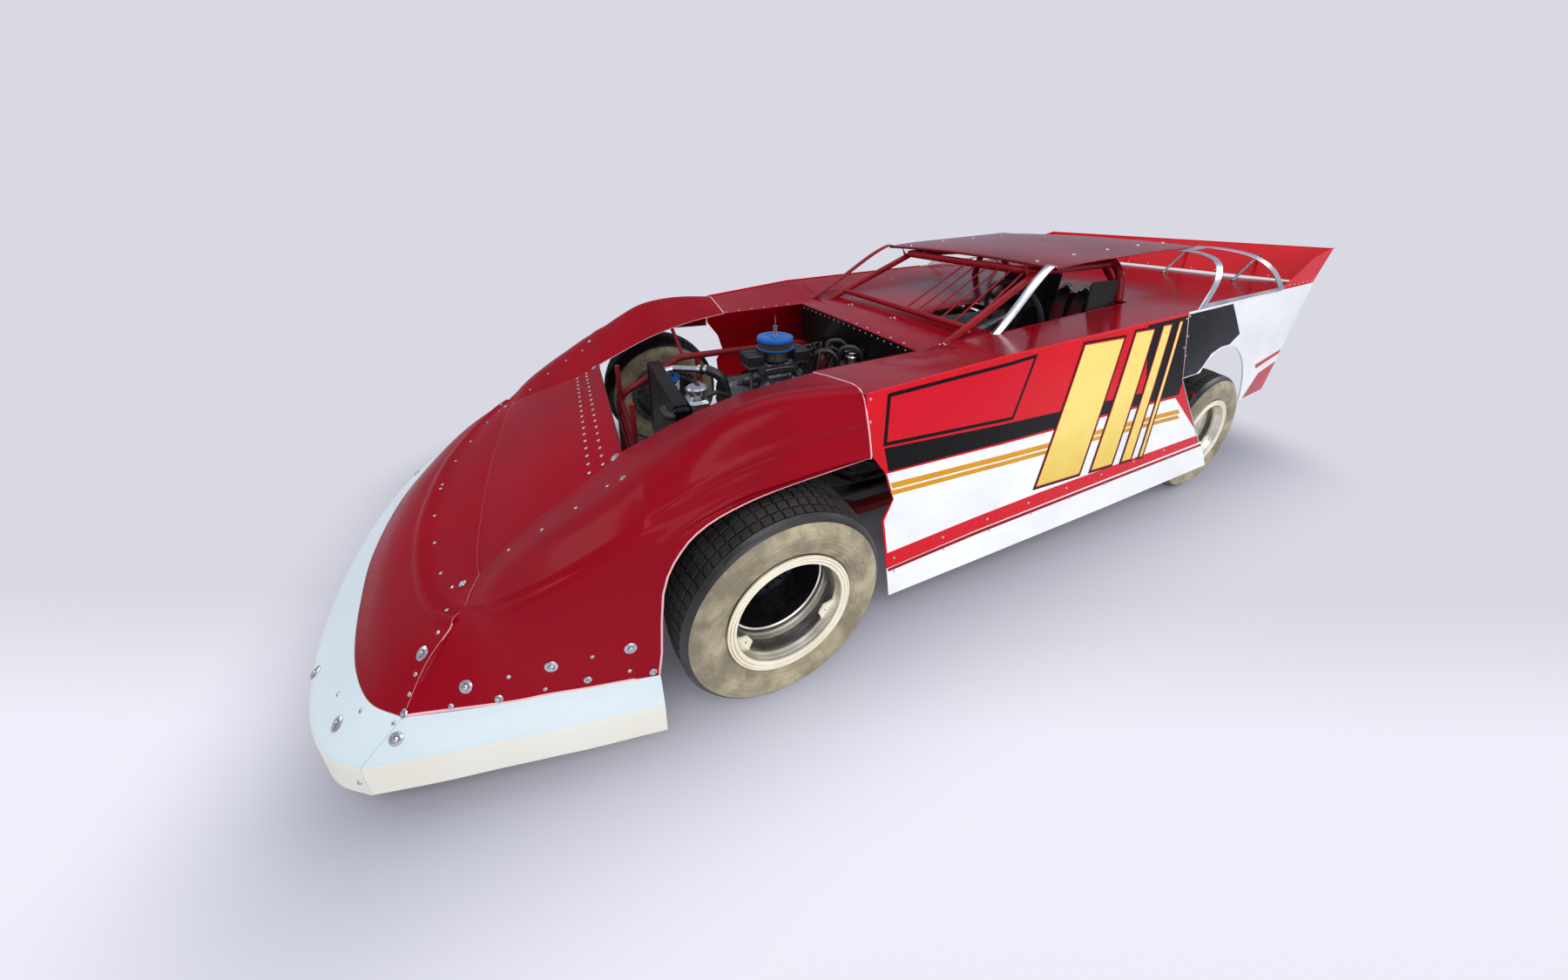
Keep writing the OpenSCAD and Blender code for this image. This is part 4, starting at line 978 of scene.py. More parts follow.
def on_deck(x, y, lift):
    """Point on the top of the decks, which dip between their raised edges."""
    reach, low = abs(y), deck_z(x)
    edge = top_y(x) - 4.8
    z = low + 4 * (1 - reach / HOOD_Y)
    if reach >= HOOD_Y:
        z = low + (top_z(x) - low) * (reach - HOOD_Y) / (edge - HOOD_Y)
    return Vector((x, y, z + lift))


class OVAL_OT_decks(bpy.types.Operator):
    """Makes the glossy decks with their folds, hatch and rivet rows, and the spoiler"""
    bl_idname = "oval_car.decks"
    bl_label = "Decks"

    def execute(self, context):
        rivet = rivet_radius()
        s = Shape()
        s.sheet([(-499.5, -933), (250, -933.2), (868, -900.2), (868, -547), (330, -547), (330, 547),
                 (868, 547),
                 (868, 900.2), (250, 933.2), (-499.5, 933), (-499.5, 600), (-100, 600), (-100, 110),
                 (-499.5, 110)],
                on_deck, 4, 0, 0, 45)
        for side in (1, -1):
            s.tube([on_deck(x, 549 * side, -2) for x in (866, 600, 332)], 4, 0, 8)
        s.tube([on_deck(331, y, -2) for y in (-545, 0, 545)], 4, 0, 8)
        s.tube([on_deck(*p, -2) for p in ((-498, 600), (-102, 600), (-102, 110), (-498, 110))], 4, 20, 8)
        for side in (1, -1):
            rivet_line(s, on_deck, [(850, 566 * side), (340, 566 * side)], 85, rivet, 1)
        rivet_line(s, on_deck, [(312, -530), (312, 530)], 96, rivet, 1)
        for p in ((-40, 480), (-48, 300), (100, 96), (112, -300), (190, 560)):
            for dx, dy in ((-12, -10), (10, -12), (0, 12)):
                s.head(on_deck(p[0] + dx, p[1] + dy, 0), UP, 6.5, 3, 1, 8)
        hatch = [(180, -640), (180, -820), (-60, -820), (-60, -640)]
        s.sheet(hatch, on_deck, 0, 0, 1.6, 45)
        s.tube([on_deck(*p, 1) for p in hatch + hatch[:1]], 2, 8, 6)
        make(s, "front_deck_sheet", "chassis", ["deck", "bolt"], ["front_deck"], 40)
        s = Shape()
        s.sheet([(-500.5, 600), (-500.5, 933), (-1250, 933.2), (-2484, 910), (-2484, -910), (-1250, -933.2),
                 (-500.5, -933), (-500.5, 110), (-1140, 110), (-1140, 600)], on_deck, 4)
        s.tube([on_deck(*p, -2) for p in ((-502, 110), (-1138, 110), (-1138, 600), (-502, 600))], 4, 20, 8)
        for y in (-880, 880):
            rivet_line(s, on_deck, [(-1200, y), (-2440, y * 0.98)], 118, rivet, 1)
        rivet_line(s, on_deck, [(-2460, -880), (-2460, 880)], 74, rivet * 0.8, 1)
        rivet_line(s, on_deck, [(-520, -900), (-520, 90)], 96, rivet * 0.8, 1)
        make(s, "rear_deck_sheet", "chassis", ["deck", "bolt"], ["rear_deck"], 40)

        s = Shape()

        def on_spoiler(y, v, lift):
            path = [Vector((-2494, 0, top_z(-2490) + 6)), Vector((-2578, 0, 1285)),
                    Vector((-2607, 0, SPOILER_Z))]
            p = path[0].lerp(path[1], v / 150) if v < 150 else path[1].lerp(path[2], (v - 150) / 50)
            return Vector((p.x + lift, y, p.z + lift * 0.5))
        w = SPOILER_HALF
        s.sheet([(-w, 0), (w, 0), (w, 199), (-w, 199)], on_spoiler, 4, 0, 0, 50)
        s.tube([on_spoiler(-w, 197, -2), on_spoiler(w, 197, -2)], 4, 0, 8)
        for y in range(-840, 850, 140):
            s.head(on_spoiler(y, 12, 0), (0.8, 0, 0.4), 5, 2.5, 1, 8)
        outline = [(-2070, top_z(-2070) + 5), (-2494, top_z(-2490) + 5), (-2608, SPOILER_Z), (-2390, 1280)]
        for side in (1, -1):
            s.sheet(outline, lambda x, z, lift, k=side: Vector((x, (909 + lift) * k, z)), 4)
            s.tube([Vector((x, 907 * side, z)) for x, z in (outline[0], outline[3], outline[2])], 3.5, 0, 8)
            for k in range(7):
                t = (k + 0.5) / 7
                s.head((-2070 - 424 * t, 909.5 * side, top_z(-2070 - 420 * t) + 18), (0, side, 0), 5, 2.5,
                       1, 8)
        for y in (-600, -200, 200, 600):
            s.tube([(-2300, y, deck_z(-2300) + 2), (-2566, y, 1262)], 8, 0, 10, 2)
        make(s, "spoiler_sheet", "chassis", ["body", "bolt", "steel"], ["spoiler"], 40)
        return {"FINISHED"}


# Roof, sails and posts

SAIL = [(626, 0.045, -1400, -1660), (745, 0.07, -1390, -1690), (850, 0.2, -1330, -1760),
        (912, 0.52, -1220, -1880),
        (938, 1, -1085, -2020)]
SAIL_STRIP = 58


def roof_line(x):
    """Height of the roof's sides."""
    return 1278 + 74 * (ROOF_FRONT - x) / (ROOF_FRONT - ROOF_REAR)


def on_roof(x, y, lift):
    """Point on the roof, which is crowned across and dips at its front and rear."""
    u, s = (x - ROOF_FRONT) / (ROOF_REAR - ROOF_FRONT), y / ROOF_HALF
    return Vector((x, y, roof_line(x) + 18 * (1 - s * s) - 14 * abs(2 * u - 1) ** 6 + lift))


def on_sail(v, along_x, lift=0):
    """Point on the left sail: v down from the roof, and the share from its front to its rear."""
    row = spline([Vector((a, b, c)) for a, b, c, d in SAIL], v)
    rear = spline([Vector((d, 0, 0)) for a, b, c, d in SAIL], v).x
    reach = row.z - rear
    x = row.z - reach * along_x if 0 <= along_x <= 1 else row.z
    y = row.x if v < 3.99 else top_y(x)
    return Vector((x, y + lift, roof_line(x) + row.y * (top_z(x) + 4 - roof_line(x))))


class OVAL_OT_roof(bpy.types.Operator):
    """Makes the roof with its front tube, the open sails and the bowed front posts"""
    bl_idname = "oval_car.roof"
    bl_label = "Roof, sails and posts"

    def execute(self, context):
        rivet = rivet_radius()
        s = Shape()
        rows = [[on_roof(x, y, 0) for y in steps(-ROOF_HALF, ROOF_HALF, 30)] for x in steps(ROOF_FRONT,
            ROOF_REAR, 40)]
        s.grid([row[::-1] for row in rows], 4)
        s.tube([on_roof(ROOF_FRONT - 7, y, -3) for y in steps(-624, 624, 24)], 8, 0, 10, 2)
        for side in (-1, 1):
            s.tube([on_roof(x, 622 * side, -3) for x in steps(ROOF_FRONT - 4, ROOF_REAR + 4, 24)], 4, 0, 8)
            for x in (-470, -760, -1050, -1340, -1600):
                s.bolt(on_roof(x, 470 * side, 0), UP, 11, 1)
        make(s, "roof_sheet", "chassis", ["roof", "bolt", "chassis"], ["roof"], 50)

        s = Shape()
        vs = steps(0, 4, 32)

        def width(v):
            a, b = on_sail(v, 0), on_sail(v, 1)
            return SAIL_STRIP / (a.x - b.x)
        for far in (0, 1):
            rows = [[on_sail(v, abs(far - width(v) * f)) for f in (0, 0.5, 1)] for v in vs]
            s.grid(rows, 3)
            for k in range(2, 32, 4):
                a, b = rows[k], rows[k + 1]
                s.head(a[1], (a[2] - a[0]).cross(b[1] - a[1]) * (1 if far == 0 else -1), rivet * 0.7, 2, 1,
                       8)
        for low, high in ((0, 0.42), (3.8, 4)):
            rows = [[on_sail(v, f) for f in steps(width(v), 1 - width(v), 8)] for v in steps(low, high, 3)]
            s.grid(rows, 3)
        make(s.mirrored(), "sail_strips", "chassis", ["bright", "bolt"], ["sails"], 50)

        s = Shape()
        for side, foot, slot in ((1, -80, 0), (-1, 250, 2)):
            low = deck_z(foot) - 4
            rise = 1280 - low
            rows = []
            for u in steps(0, 1, 28):
                x = foot + (ROOF_FRONT - foot) * u
                z = low + rise * u * (1 - (1 - u) ** 1.6 + (1 - u) * 0.75)
                if u == 1:
                    z -= 8
                bow = [(0, 0), (0.3, 3), (0.7, 3), (1, 0)]
                rows.append([Vector((x + b * 0.5, (578 + 44 * f) * side, z + b * 0.8)) for f,
                             b in bow][::side])
            s.grid(rows, 5, slot)
            for k in range(2, 28, 4):
                a, b = rows[k], rows[k + 1]
                s.head((a[1] + a[2]) / 2, (a[2] - a[1]).cross(b[1] - a[1]) * -1, rivet * 0.7, 2.4, 1, 8)
        make(s, "front_post_strips", "chassis", ["bright", "bolt", "tube"], ["front_posts"],
             50)
        return {"FINISHED"}


# Welded tubes

FRONT_TUBES = [
    (22, [(600, 550, 175), (812, 335, 180), (1540, 335, 190), (2300, 300, 262)]),
    (19, [(340, 560, 190), (340, 430, 700), (1180, 430, 700), (1540, 335, 560), (1540, 335, 190)]),
    (16, [(1080, 335, 185), (1080, 430, 700)]), (16, [(1350, 335, 187), (1350, 385, 634)]),
]
FRONT_CROSS = [(13, 1350, 346, 308), (16, 1540, 335, 450), (16, 2293, 420, 262), (13, 1540, 335, 566)]
REAR_RAIL = [(-1223, 470, 190), (-1290, 460, 520), (-1560, 440, 520), (-2280, 400, 490), (-2420, 400, 490)]
HOOP = [(-1190, 560, 200), (-1190, 545, 900), (-1190, 500, 1178), (-1190, 440, 1260)]
LEG = [(270, 560, 200), (260, 545, 880), (-500, 476, 1232)]


def round_trip(points):
    """Points on one side, and back down the other side."""
    return points + [flip(p) for p in reversed(points)]


def pair(shape, points, radius, bend=60, slot=0, sides=14):
    """The same tube on both sides of the car."""
    shape.tube(points, radius, bend, sides, slot)
    shape.tube([flip(p) for p in points], radius, bend, sides, slot)


class OVAL_OT_tubes(bpy.types.Operator):
    """Makes the bent tubes of the cage, the clips and the bumper, with their gussets and foot plates"""
    bl_idname = "oval_car.tubes"
    bl_label = "Welded tubes"

    def execute(self, context):
        s = Shape()
        s.tube(round_trip(HOOP), 23, 110)
        pair(s, [(-1190, 370, 1260), (-2080, 411, 504)], 19)
        pair(s, LEG, 19, 120)
        s.tube([(-1190, 438, 1235), (-430, 480, 1232), (-430, -480, 1232), (-1190, -438, 1235)], 21, 90)
        for x, y, z, r in ((16.8, 522.9, 992.6, 16), (261, 546, 820, 16), (-1190, 547, 800, 19)):
            s.across(x, y, z, r)
        for side in (1, -1):
            for a, b, c, d in (((-1190, 500), (1178, 1120), (-1150, 1240), 484),
                               ((-430, 470), (1228, 1196), (-480, 1232), 440)):
                s.grid([[Vector((a[0], a[1] * side, b[0])),
                         Vector((a[0] + 44, (a[1] - 6) * side, b[0] + 46))],
                        [Vector((a[0], a[1] * side, b[1])),
                         Vector((a[0] + 10, (a[1] - 6) * side, b[1] + 4))]], 4)
            for x, y, z in ((-1190, 560, 206), (270, 560, 206)):
                s.beside((x - 42, y - 26, 200), (x + 42, y + 26, 206), side)
        make(s, "cage_tubes", "chassis", ["tube"], ["roll_cage"], 40)
        s = Shape()
        for z in (360, 500, 640):
            y = 560 - 0.022 * (z - 200)
            pair(s, [(268 - z / 200, y, z), (-1190, y, z)], 16)
        for y in range(80, 521, 88):
            s.tube([(16.8, y, 992.6), (-430, y * 0.86, 1232)], 5, 0, 10)
        for x in (-800, -340):
            pair(s, [(x, 553, 360), (x, 550, 640)], 12, 0)
        make(s, "cage_side_bars", "chassis", ["tube"], ["cage_bars"], 40)

        s = Shape()
        for side in (1, -1):
            s.beside((-1230, 535, 150), (620, 585, 200), side, 5)
            s.beside((-905, 580, 150), (-855, 597, 480), side, 4)
        for x in (250, -300, -1225):
            s.block((x - 20, -556, 155), (x + 20, 556, 195), 4)
        make(s, "main_rails", "chassis", ["chassis"], ["frame"], 40)
        s = Shape()
        for radius, points in FRONT_TUBES:
            pair(s, points, radius, 90)
        for radius, x, y, z in FRONT_CROSS:
            s.across(x, y, z, radius)
        for side in (1, -1):
            for x in (1080, 1350):
                s.beside((x - 34, 331, 190), (x + 34, 339, 250), side)
        make(s, "front_clip_tubes", "chassis", ["chassis"], ["front_clip"], 40)
        s = Shape()
        pair(s, REAR_RAIL, 22, 90)
        for x, y, z in ((-1850, 423.9, 507.9), (-2150, 407.2, 495.4)):
            s.tube([(x, y, z), (x, y, 348), (x, -y, 348), (x, -y, z)], 16, 50)
        make(s, "rear_clip_tubes", "chassis", ["chassis"], ["rear_clip"], 40)
        s = Shape()
        for z in (490, 640):
            s.across(-2420, 560, z, 25, 0, 18)
        pair(s, [(-2420, 530, 490), (-2420, 530, 640)], 16)
        ring = [(math.cos(a), math.sin(a)) for a in steps(0, math.tau, 32)]
        rows = []
        for scale, z in ((13, 480), (13, 496), (0, 496), (0, 480), (13, 480)):
            row = []
            for c, d in ring:
                k = 1 / max(abs(c) / 32, abs(d) / 38)
                row.append(Vector((-2470 + c * (scale or min(k, 60)), d * (scale or min(k, 60)), z)))
            rows.append(row)
        s.grid(rows)
        s.block((-2448, -38, 480), (-2430, 38, 496), 1)
        make(s, "rear_bumper_tubes", "chassis", ["chassis"], ["rear_bumper"], 40)
        return {"FINISHED"}


# Wheels

WHEELS = {"front_left": (AX_F, 915, 1), "front_right": (AX_F, -915, -1),
          "rear_left": (AX_R, 845, 1), "rear_right": (AX_R, -845, -1)}
TYRE = [(199.3, 157), (212, 168), (230, 177), (255, 183), (280, 185), (298, 181), (313, 173), (329, 163),
        (340, 151)]


TREAD_HALF = 148
TREAD_GAP = 5.2


def tread_radius(h):
    """Radius of the tread at a distance from the tyre's middle."""
    return spline([Vector((r, 0, 0)) for r in (355, 354.6, 353.6, 351, 344, 341)], min(abs(h) / 30, 5)).x


class OVAL_OT_wheels(bpy.types.Operator):
    """Makes the four tyres with their tread blocks, and the rims with their dishes, tabs and nuts"""
    bl_idname = "oval_car.wheels"
    bl_label = "Wheels"

    def tyre(self, name, x, y, side, across_n, round_n):
        s = Shape()
        curve = [Vector((r, h, 0)) for r, h in TYRE]
        wall = [spline(curve, t) for t in steps(0, len(TYRE) - 1, 64)]
        profile = []
        for p in wall:
            ring = 1.1 * math.sin(p.x * 0.42) if 214 < p.x < 300 else 0
            profile.append((p.x, p.y + ring))
        top = [(tread_radius(h) - 8, h) for h in steps(146, 0, 14)]
        half = profile + top
        full = half + [(r, -h) for r, h in reversed(half[:-1])]
        centre, axis = (x, y, AXLE_Z), (0, side, 0)
        s.lathe(full, centre, axis, 112)
        for k in range(len(s.faces)):
            mid = sum((Vector(s.verts[i]) for i in s.faces[k]), Vector()) / 4
            radius = math.hypot(mid.x - x, mid.z - AXLE_Z)
            if radius < 319:
                s.slots[k] = 1
            elif abs(mid.y - y) > 146:
                s.slots[k] = 2
        s.lathe([full[-1], (200, 0), full[0]], centre, axis, 64, 2)
        for i in range(across_n):
            width = 2 * TREAD_HALF / across_n
            low = -TREAD_HALF + i * width + TREAD_GAP / 2
            high = low + width - TREAD_GAP
            for j in range(round_n):
                start = (j + i * 0.14 + RNG.uniform(-0.02, 0.02)) * math.tau / round_n
                end = start + math.tau / round_n * 0.86
                drop = RNG.uniform(0, 0.8)
                rows = []
                for depth, inset in ((9, 0), (1.6 + drop, 0), (drop, 1.6)):
                    row = []
                    for a, h in ((start, low), (end, low), (end, high), (start, high)):
                        a += (inset if a == start else -inset) / 350
                        h += inset if h == low else -inset
                        r = tread_radius(h) - depth
                        row.append(Vector((x + r * math.cos(a), y + h * side, AXLE_Z + r * math.sin(a))))
                    rows.append(row)
                s.grid(rows, closed=True)
                s.faces.append(list(range(len(s.verts) - 4, len(s.verts))))
                s.slots.append(0)
        make(s, f"tyre_tread_{name}", f"wheel_{name}", ["tread", "sidewall", "rubber"],
             [f"tyre_{name}"], 32, (x, y, AXLE_Z))

    def rim(self, name, x, y, side):
        s = Shape()
        centre, axis = Vector((x, y, AXLE_Z)), (0, side, 0)
        flange = [(186, 146), (190, 150), (199, 158), (205, 168), (208, 173), (207, 177.5), (202.5, 178.5),
                  (201.2, 173), (199.4, 173), (198, 178.5), (192, 178.5), (190.8, 172.5), (189, 172.5),
                  (187.6, 178), (182, 178), (179.5, 176), (178, 172)]
        s.lathe(flange, centre, axis, 96, 1)
        s.lathe([(178, 172), (177.5, 150), (174, 144), (174, 128), (176, 122), (175, 84), (170, 76),
                 (169, 62),
                 (165, 58)], centre, axis, 96)
        s.lathe([(165, 58), (164, 20), (163, 8), (161, -40), (152, -60), (132, -67)], centre, axis, 96, 2)
        s.lathe([(132, -67), (128, -68), (60, -68), (52, -66), (52, -42), (48, -41), (26, -41), (26, -116)],
                centre, axis, 64, 2)
        s.lathe([(26, -116), (52, -116), (52, -84), (60, -80), (140, -76), (168, -80), (179, -100),
                 (179, -178),
                 (205, -178), (208, -174), (205, -169), (199, -158), (186, -146), (186, 146)], centre, axis,
                 72, 3)

        def at(angle, r, h):
            a = math.radians(angle)
            return Vector((x + r * math.cos(a), y + h * side, AXLE_Z - r * math.sin(a)))
        for k in range(3):
            mid = 30 + 120 * k
            ring = [(14, 179), (10, 166), (6.5, 146), (0, 145), (-6.5, 146), (-10, 166), (-14, 179),
                    (0, 179)]
            hole = [(a * 180 / math.pi / 162, 162 + b) for a, b in (
                (4 * math.cos(q), 4 * math.sin(q)) for q in (0.9, 0.1, -0.8, -math.pi / 2, -2.34, -3.2,
                    -4.0, -4.71))]
            rows = [[at(mid + a, q, h) for a, q in line] for line, h in (
                (ring, 144), (hole, 144), (hole, 138), (ring, 138), (ring, 144))]
            s.grid(rows, 0, 1, closed=True)
        for k in range(5):
            p = at(72 * k + 20, 84, -68)
            s.lathe([(14, 0), (14, 8), (12, 10)], p, axis, 20, 4)
            s.lathe([(11, 9), (11, 24), (8, 27), (5, 27), (5, 34), (0.3, 35)], p, axis, 6, 4)
        for k in range(8):
            p = at(45 * k, 112, -68)
            s.head(p, axis, 7, 3, 4, 10)
        s.lathe([(30, -60), (40, -44), (36, -38), (20, -34), (0.3, -33)], centre, axis, 32, 4)
        make(s, f"rim_dish_{name}", f"wheel_{name}",
             ["rim", "flange", "iron", "cast", "steel"],
             [f"rim_{name}"], 34, (x, y, AXLE_Z))

    def execute(self, context):
        size = context.scene.oval_sizes
        for name, (x, y, side) in WHEELS.items():
            self.tyre(name, x, y, side, size.tread_rows, size.tread_count)
            self.rim(name, x, y, side)
        return {"FINISHED"}


# Engine bay

CYLINDERS = (935, 815, 695, 575)


def in_bank(side):
    """Places a point of a cylinder bank, given as x, across the bank and along the cylinders."""
    c = math.sqrt(0.5)
    return lambda p: Vector((p.x, (p.y * c + p.z * c) * side, 310 - p.y * c + p.z * c))


class OVAL_OT_engine(bpy.types.Operator):
    """Makes the engine, the air cleaner, the exhaust, the radiator and the bay's tank and hoses"""
    bl_idname = "oval_car.engine"
    bl_label = "Engine bay"

    def execute(self, context):
        s = Shape()
        for side in (1, -1):
            bank = in_bank(side)
            s.block((470, -95, 0), (1030, 95, 240), 6, 0, bank)
            s.block((482, -105, 239), (1018, 105, 334), 8, 1, bank)
            rows = []
            for x in (484, 490, 1010, 1016):
                inset = 12 if x in (484, 1016) else 0
                rows.append([bank(Vector((x, y, z))) for y, z in ((-75 + inset, 334), (-75 + inset, 352), (
                    -60 + inset, 378 - inset), (-34 + inset / 2, 388 - inset),
                    (34 - inset / 2, 388 - inset), (
                    60 - inset, 378 - inset), (75 - inset, 352), (75 - inset, 334))])
            s.grid(rows, 0, 2)
            s.faces += [list(range(len(s.verts) - 8, len(s.verts))),
                        list(range(len(s.verts) - 32, len(s.verts) - 24))]
            s.slots += [2, 2]
            for k in range(9):
                y = -44 + k * 11
                s.block((512, y - 2, 386), (988, y + 2, 390), 1, 2, bank)
            for x in range(500, 1010, 84):
                for y in (-82, 82):
                    s.head(bank(Vector((x, y, 334))), bank(Vector((x, y, 400))) - bank(Vector((x, y, 334))),
                           7, 7, 5, 6)
            for x in CYLINDERS:
                s.lathe([(34, 0), (34, 7), (24, 8)], Vector((x, 276.5 * side, 438)) - Vector((0, 0.5 * side,
                    -0.5)),
                        (0, side, -1), 20, 5)
                plug = bank(Vector((x + 34, 60, 300)))
                s.tube([plug, plug + Vector((0, 60 * side, 40)), (x * 0.6 + 210, 190 * side, 640),
                        (500, 60 * side, 700),
                        (470, 22 * side, 690)], 5, 45, 8, 4)
        s.block((470, -150, 190), (1030, 150, 350), 10)
        s.block((470, -110, 410), (1030, 110, 610), 10, 1)
        s.block((530, -170, 140), (970, 170, 200), 12, 5)
        for x in CYLINDERS:
            for side in (1, -1):
                s.tube([(780 + (x - 780) * 0.3, 40 * side, 668), (780 + (x - 780) * 0.75, 92 * side, 640),
                        (x, 168 * side, 560)], 25, 60, 12, 1)
        s.block((710, -75, 600), (850, 75, 710), 9, 1)
        s.block((1029, -295, 220), (1039, 295, 400), 3, 5)
        for z, radius, depth in ((310, 90, 48), (500, 65, 70)):
            s.lathe([(0.5, 0), (radius - 4, 0), (radius, 4), (radius, 12), (radius - 8, 16),
                     (radius - 8, 22), (radius, 26),
                     (radius, 34), (radius - 6, depth - 10), (26, depth - 6), (22, depth), (0.5, depth)],
                    (1030, 0, z), FORWARD, 40, 5)
        belt = [(1054, 88, 300), (1054, 92, 340), (1054, 66, 500), (1054, 40, 558), (1054, 0, 570),
                (1054, -40, 558),
                (1054, -66, 500), (1054, -92, 340), (1054, -60, 245), (1054, 0, 216), (1054, 60, 245),
                (1054, 88, 300)]
        s.tube(belt, 7, 30, 8, 4)
        s.block((665, -50, 710), (895, 50, 762), 7, 3)
        for x in (668, 838):
            s.block((x - 6, -46, 716), (x + 62, 46, 772), 8, 3)
            for y in (-34, 34):
                s.head((x + 28, y, 772), UP, 5, 4, 5, 6)
                s.tube([(x + 28, y, 722), (x + 28, y * 1.45, 720)], 6, 0, 8, 5)
        s.lathe([(70, 0), (70, 6), (64, 8), (62, 44), (66, 50), (66, 52), (54, 52), (50, 8)], (780, 0, 778),
                UP, 36, 3)
        for side in (1, -1):
            s.tube([(700, 50 * side, 740), (700, 66 * side, 742), (780, 68 * side, 748),
                    (860, 66 * side, 742), (
                860, 50 * side, 740)], 3.5, 14, 8, 5)
            s.tube([(655, 30 * side, 742), (620, 40 * side, 748), (600, 44 * side, 690),
                    (560, 40 * side, 640)], 6, 30, 10, 4)
        s.tube([(896, 20, 738), (925, 40, 742), (960, 110, 700), (985, 180, 640)], 8, 40, 10, 4)
        s.lathe([(34, 0), (34, 40), (50, 46), (50, 90)], (505, 0, 606), UP, 32, 1)
        s.lathe([(50, 90), (64, 94), (64, 150), (56, 162), (0.5, 166)], (505, 0, 606), UP, 32, 6)
        for k in range(8):
            a = math.tau * k / 8 + 0.2
            c, d = math.cos(a), math.sin(a)
            s.lathe([(8, 0), (8, 16), (0.5, 18)], (505 + 44 * c, 44 * d, 766), UP, 10, 4)
            s.tube([(505 + 44 * c, 44 * d, 782), (505 + 52 * c, 52 * d, 812 + 4 * (k % 3)),
                    (505 + 105 * c, 105 * d, 790), (560 + 60 * c, 140 * d, 690),
                    (620 + 20 * c, 190 * d, 600)],
                   6, 40, 8, 4)
        for a, b, c in ((560, 90, 800), (430, 130, 818), (405, -40, 806)):
            s.tube([(a + 20, b - 60, 690), (a, b - 40, c), (a - 60, b, c + 8), (a - 90, b + 30, c - 30),
                    (a - 95, b + 40, 640)], 15, 55, 12, 4)
        for low, high in ((862, 956), (604, 698)):
            s.block((low, -66, 764), (high, 66, 826), 9, 2)
            s.block((low + 8, -58, 750), (high - 8, 58, 766), 4, 5)
            for y in (-44, 0, 44):
                s.block((low + 12, y - 3, 825), (high - 12, y + 3, 829), 1, 2)
        for x in (958, 560):
            cap = in_bank(1)(Vector((x, 0, 386)))
            s.lathe([(18, 0), (20, 14), (38, 18), (40, 22), (40, 38), (34, 44), (0.5, 46)], cap, (0, 1, 1),
                    28, 7)
        s.lathe([(0.5, 0), (42, 0), (46, 6), (46, 78), (38, 90), (20, 96), (20, 110), (0.5, 112)],
                (430, 210, 540), UP, 30, 5)
        s.lathe([(0.5, 0), (30, 0), (34, 4), (34, 86), (26, 94), (0.5, 96)], (1040, 150, 560), UP, 28, 3)
        make(s, "engine_dressed", "chassis",
             ["iron", "cast", "black", "cast", "rubber", "steel", "cap", "bolt"], ["engine"], 34)

        s = Shape()
        c = Vector((780, 0, 830.3))
        s.lathe([(0.5, 0), (84, 0), (92, 3), (95, 7), (95, 12), (88, 14)], c, UP, 64)
        rows = []
        for h in (14, 47):
            rows.append([c + Vector(((86 + (k % 2) * 4) * math.cos(math.tau * k / 180),
                                     (86 + (k % 2) * 4) * math.sin(math.tau * k / 180),
                                     h)) for k in range(180)])
        s.grid(rows, 0, 1, closed=True)
        s.lathe([(88, 46), (94, 47), (95, 50), (95, 60), (92, 66), (84, 69), (60, 70), (52, 67), (30, 67),
                 (26, 70),
                 (0.5, 70)], c, UP, 64)
        s.lathe([(16, 69), (16, 73), (9, 75), (9, 84), (5, 86), (0.5, 86)], c, UP, 20, 2)
        s.block((776, -17, 907), (784, 17, 915), 2, 2)
        make(s, "air_cleaner_lid", "chassis", ["blue", "filter", "bolt"], ["air_cleaner"],
             34)

        s = Shape()
        for side in (1, -1):
            for k, x in enumerate(CYLINDERS):
                port = [Vector((x, (276.5 + 0.707 * h) * side, 438 - 0.707 * h)) for h in (0, 92)]
                lane = ((26, -26), (26, 26), (-26, -26), (-26, 26))[k]
                a, b = (648 + lane[0]) * side, 415 + lane[1]
                s.tube([*port, (x - 120 + 20 * k, a, b), (476, a, b)], 22, 75, 16)
            s.lathe([(52, 0), (64, 4), (63, 30), (50, 66), (50, 90)], (490, 648 * side, 415), (-1, 0, 0))
            s.tube([(440, 648 * side, 415), (390, 660 * side, 402), (290, 695 * side, 372),
                    (-500, 700 * side, 300)],
                   50, 120, 24)
            s.lathe([(53, 0), (56, 3), (56, 9), (53, 12)], (-400, 700 * side, 310.5), (1, 0, 0.09), 28, 1)
        make(s, "exhaust_tubes", "chassis", ["exhaust", "steel"], ["exhaust"], 40)

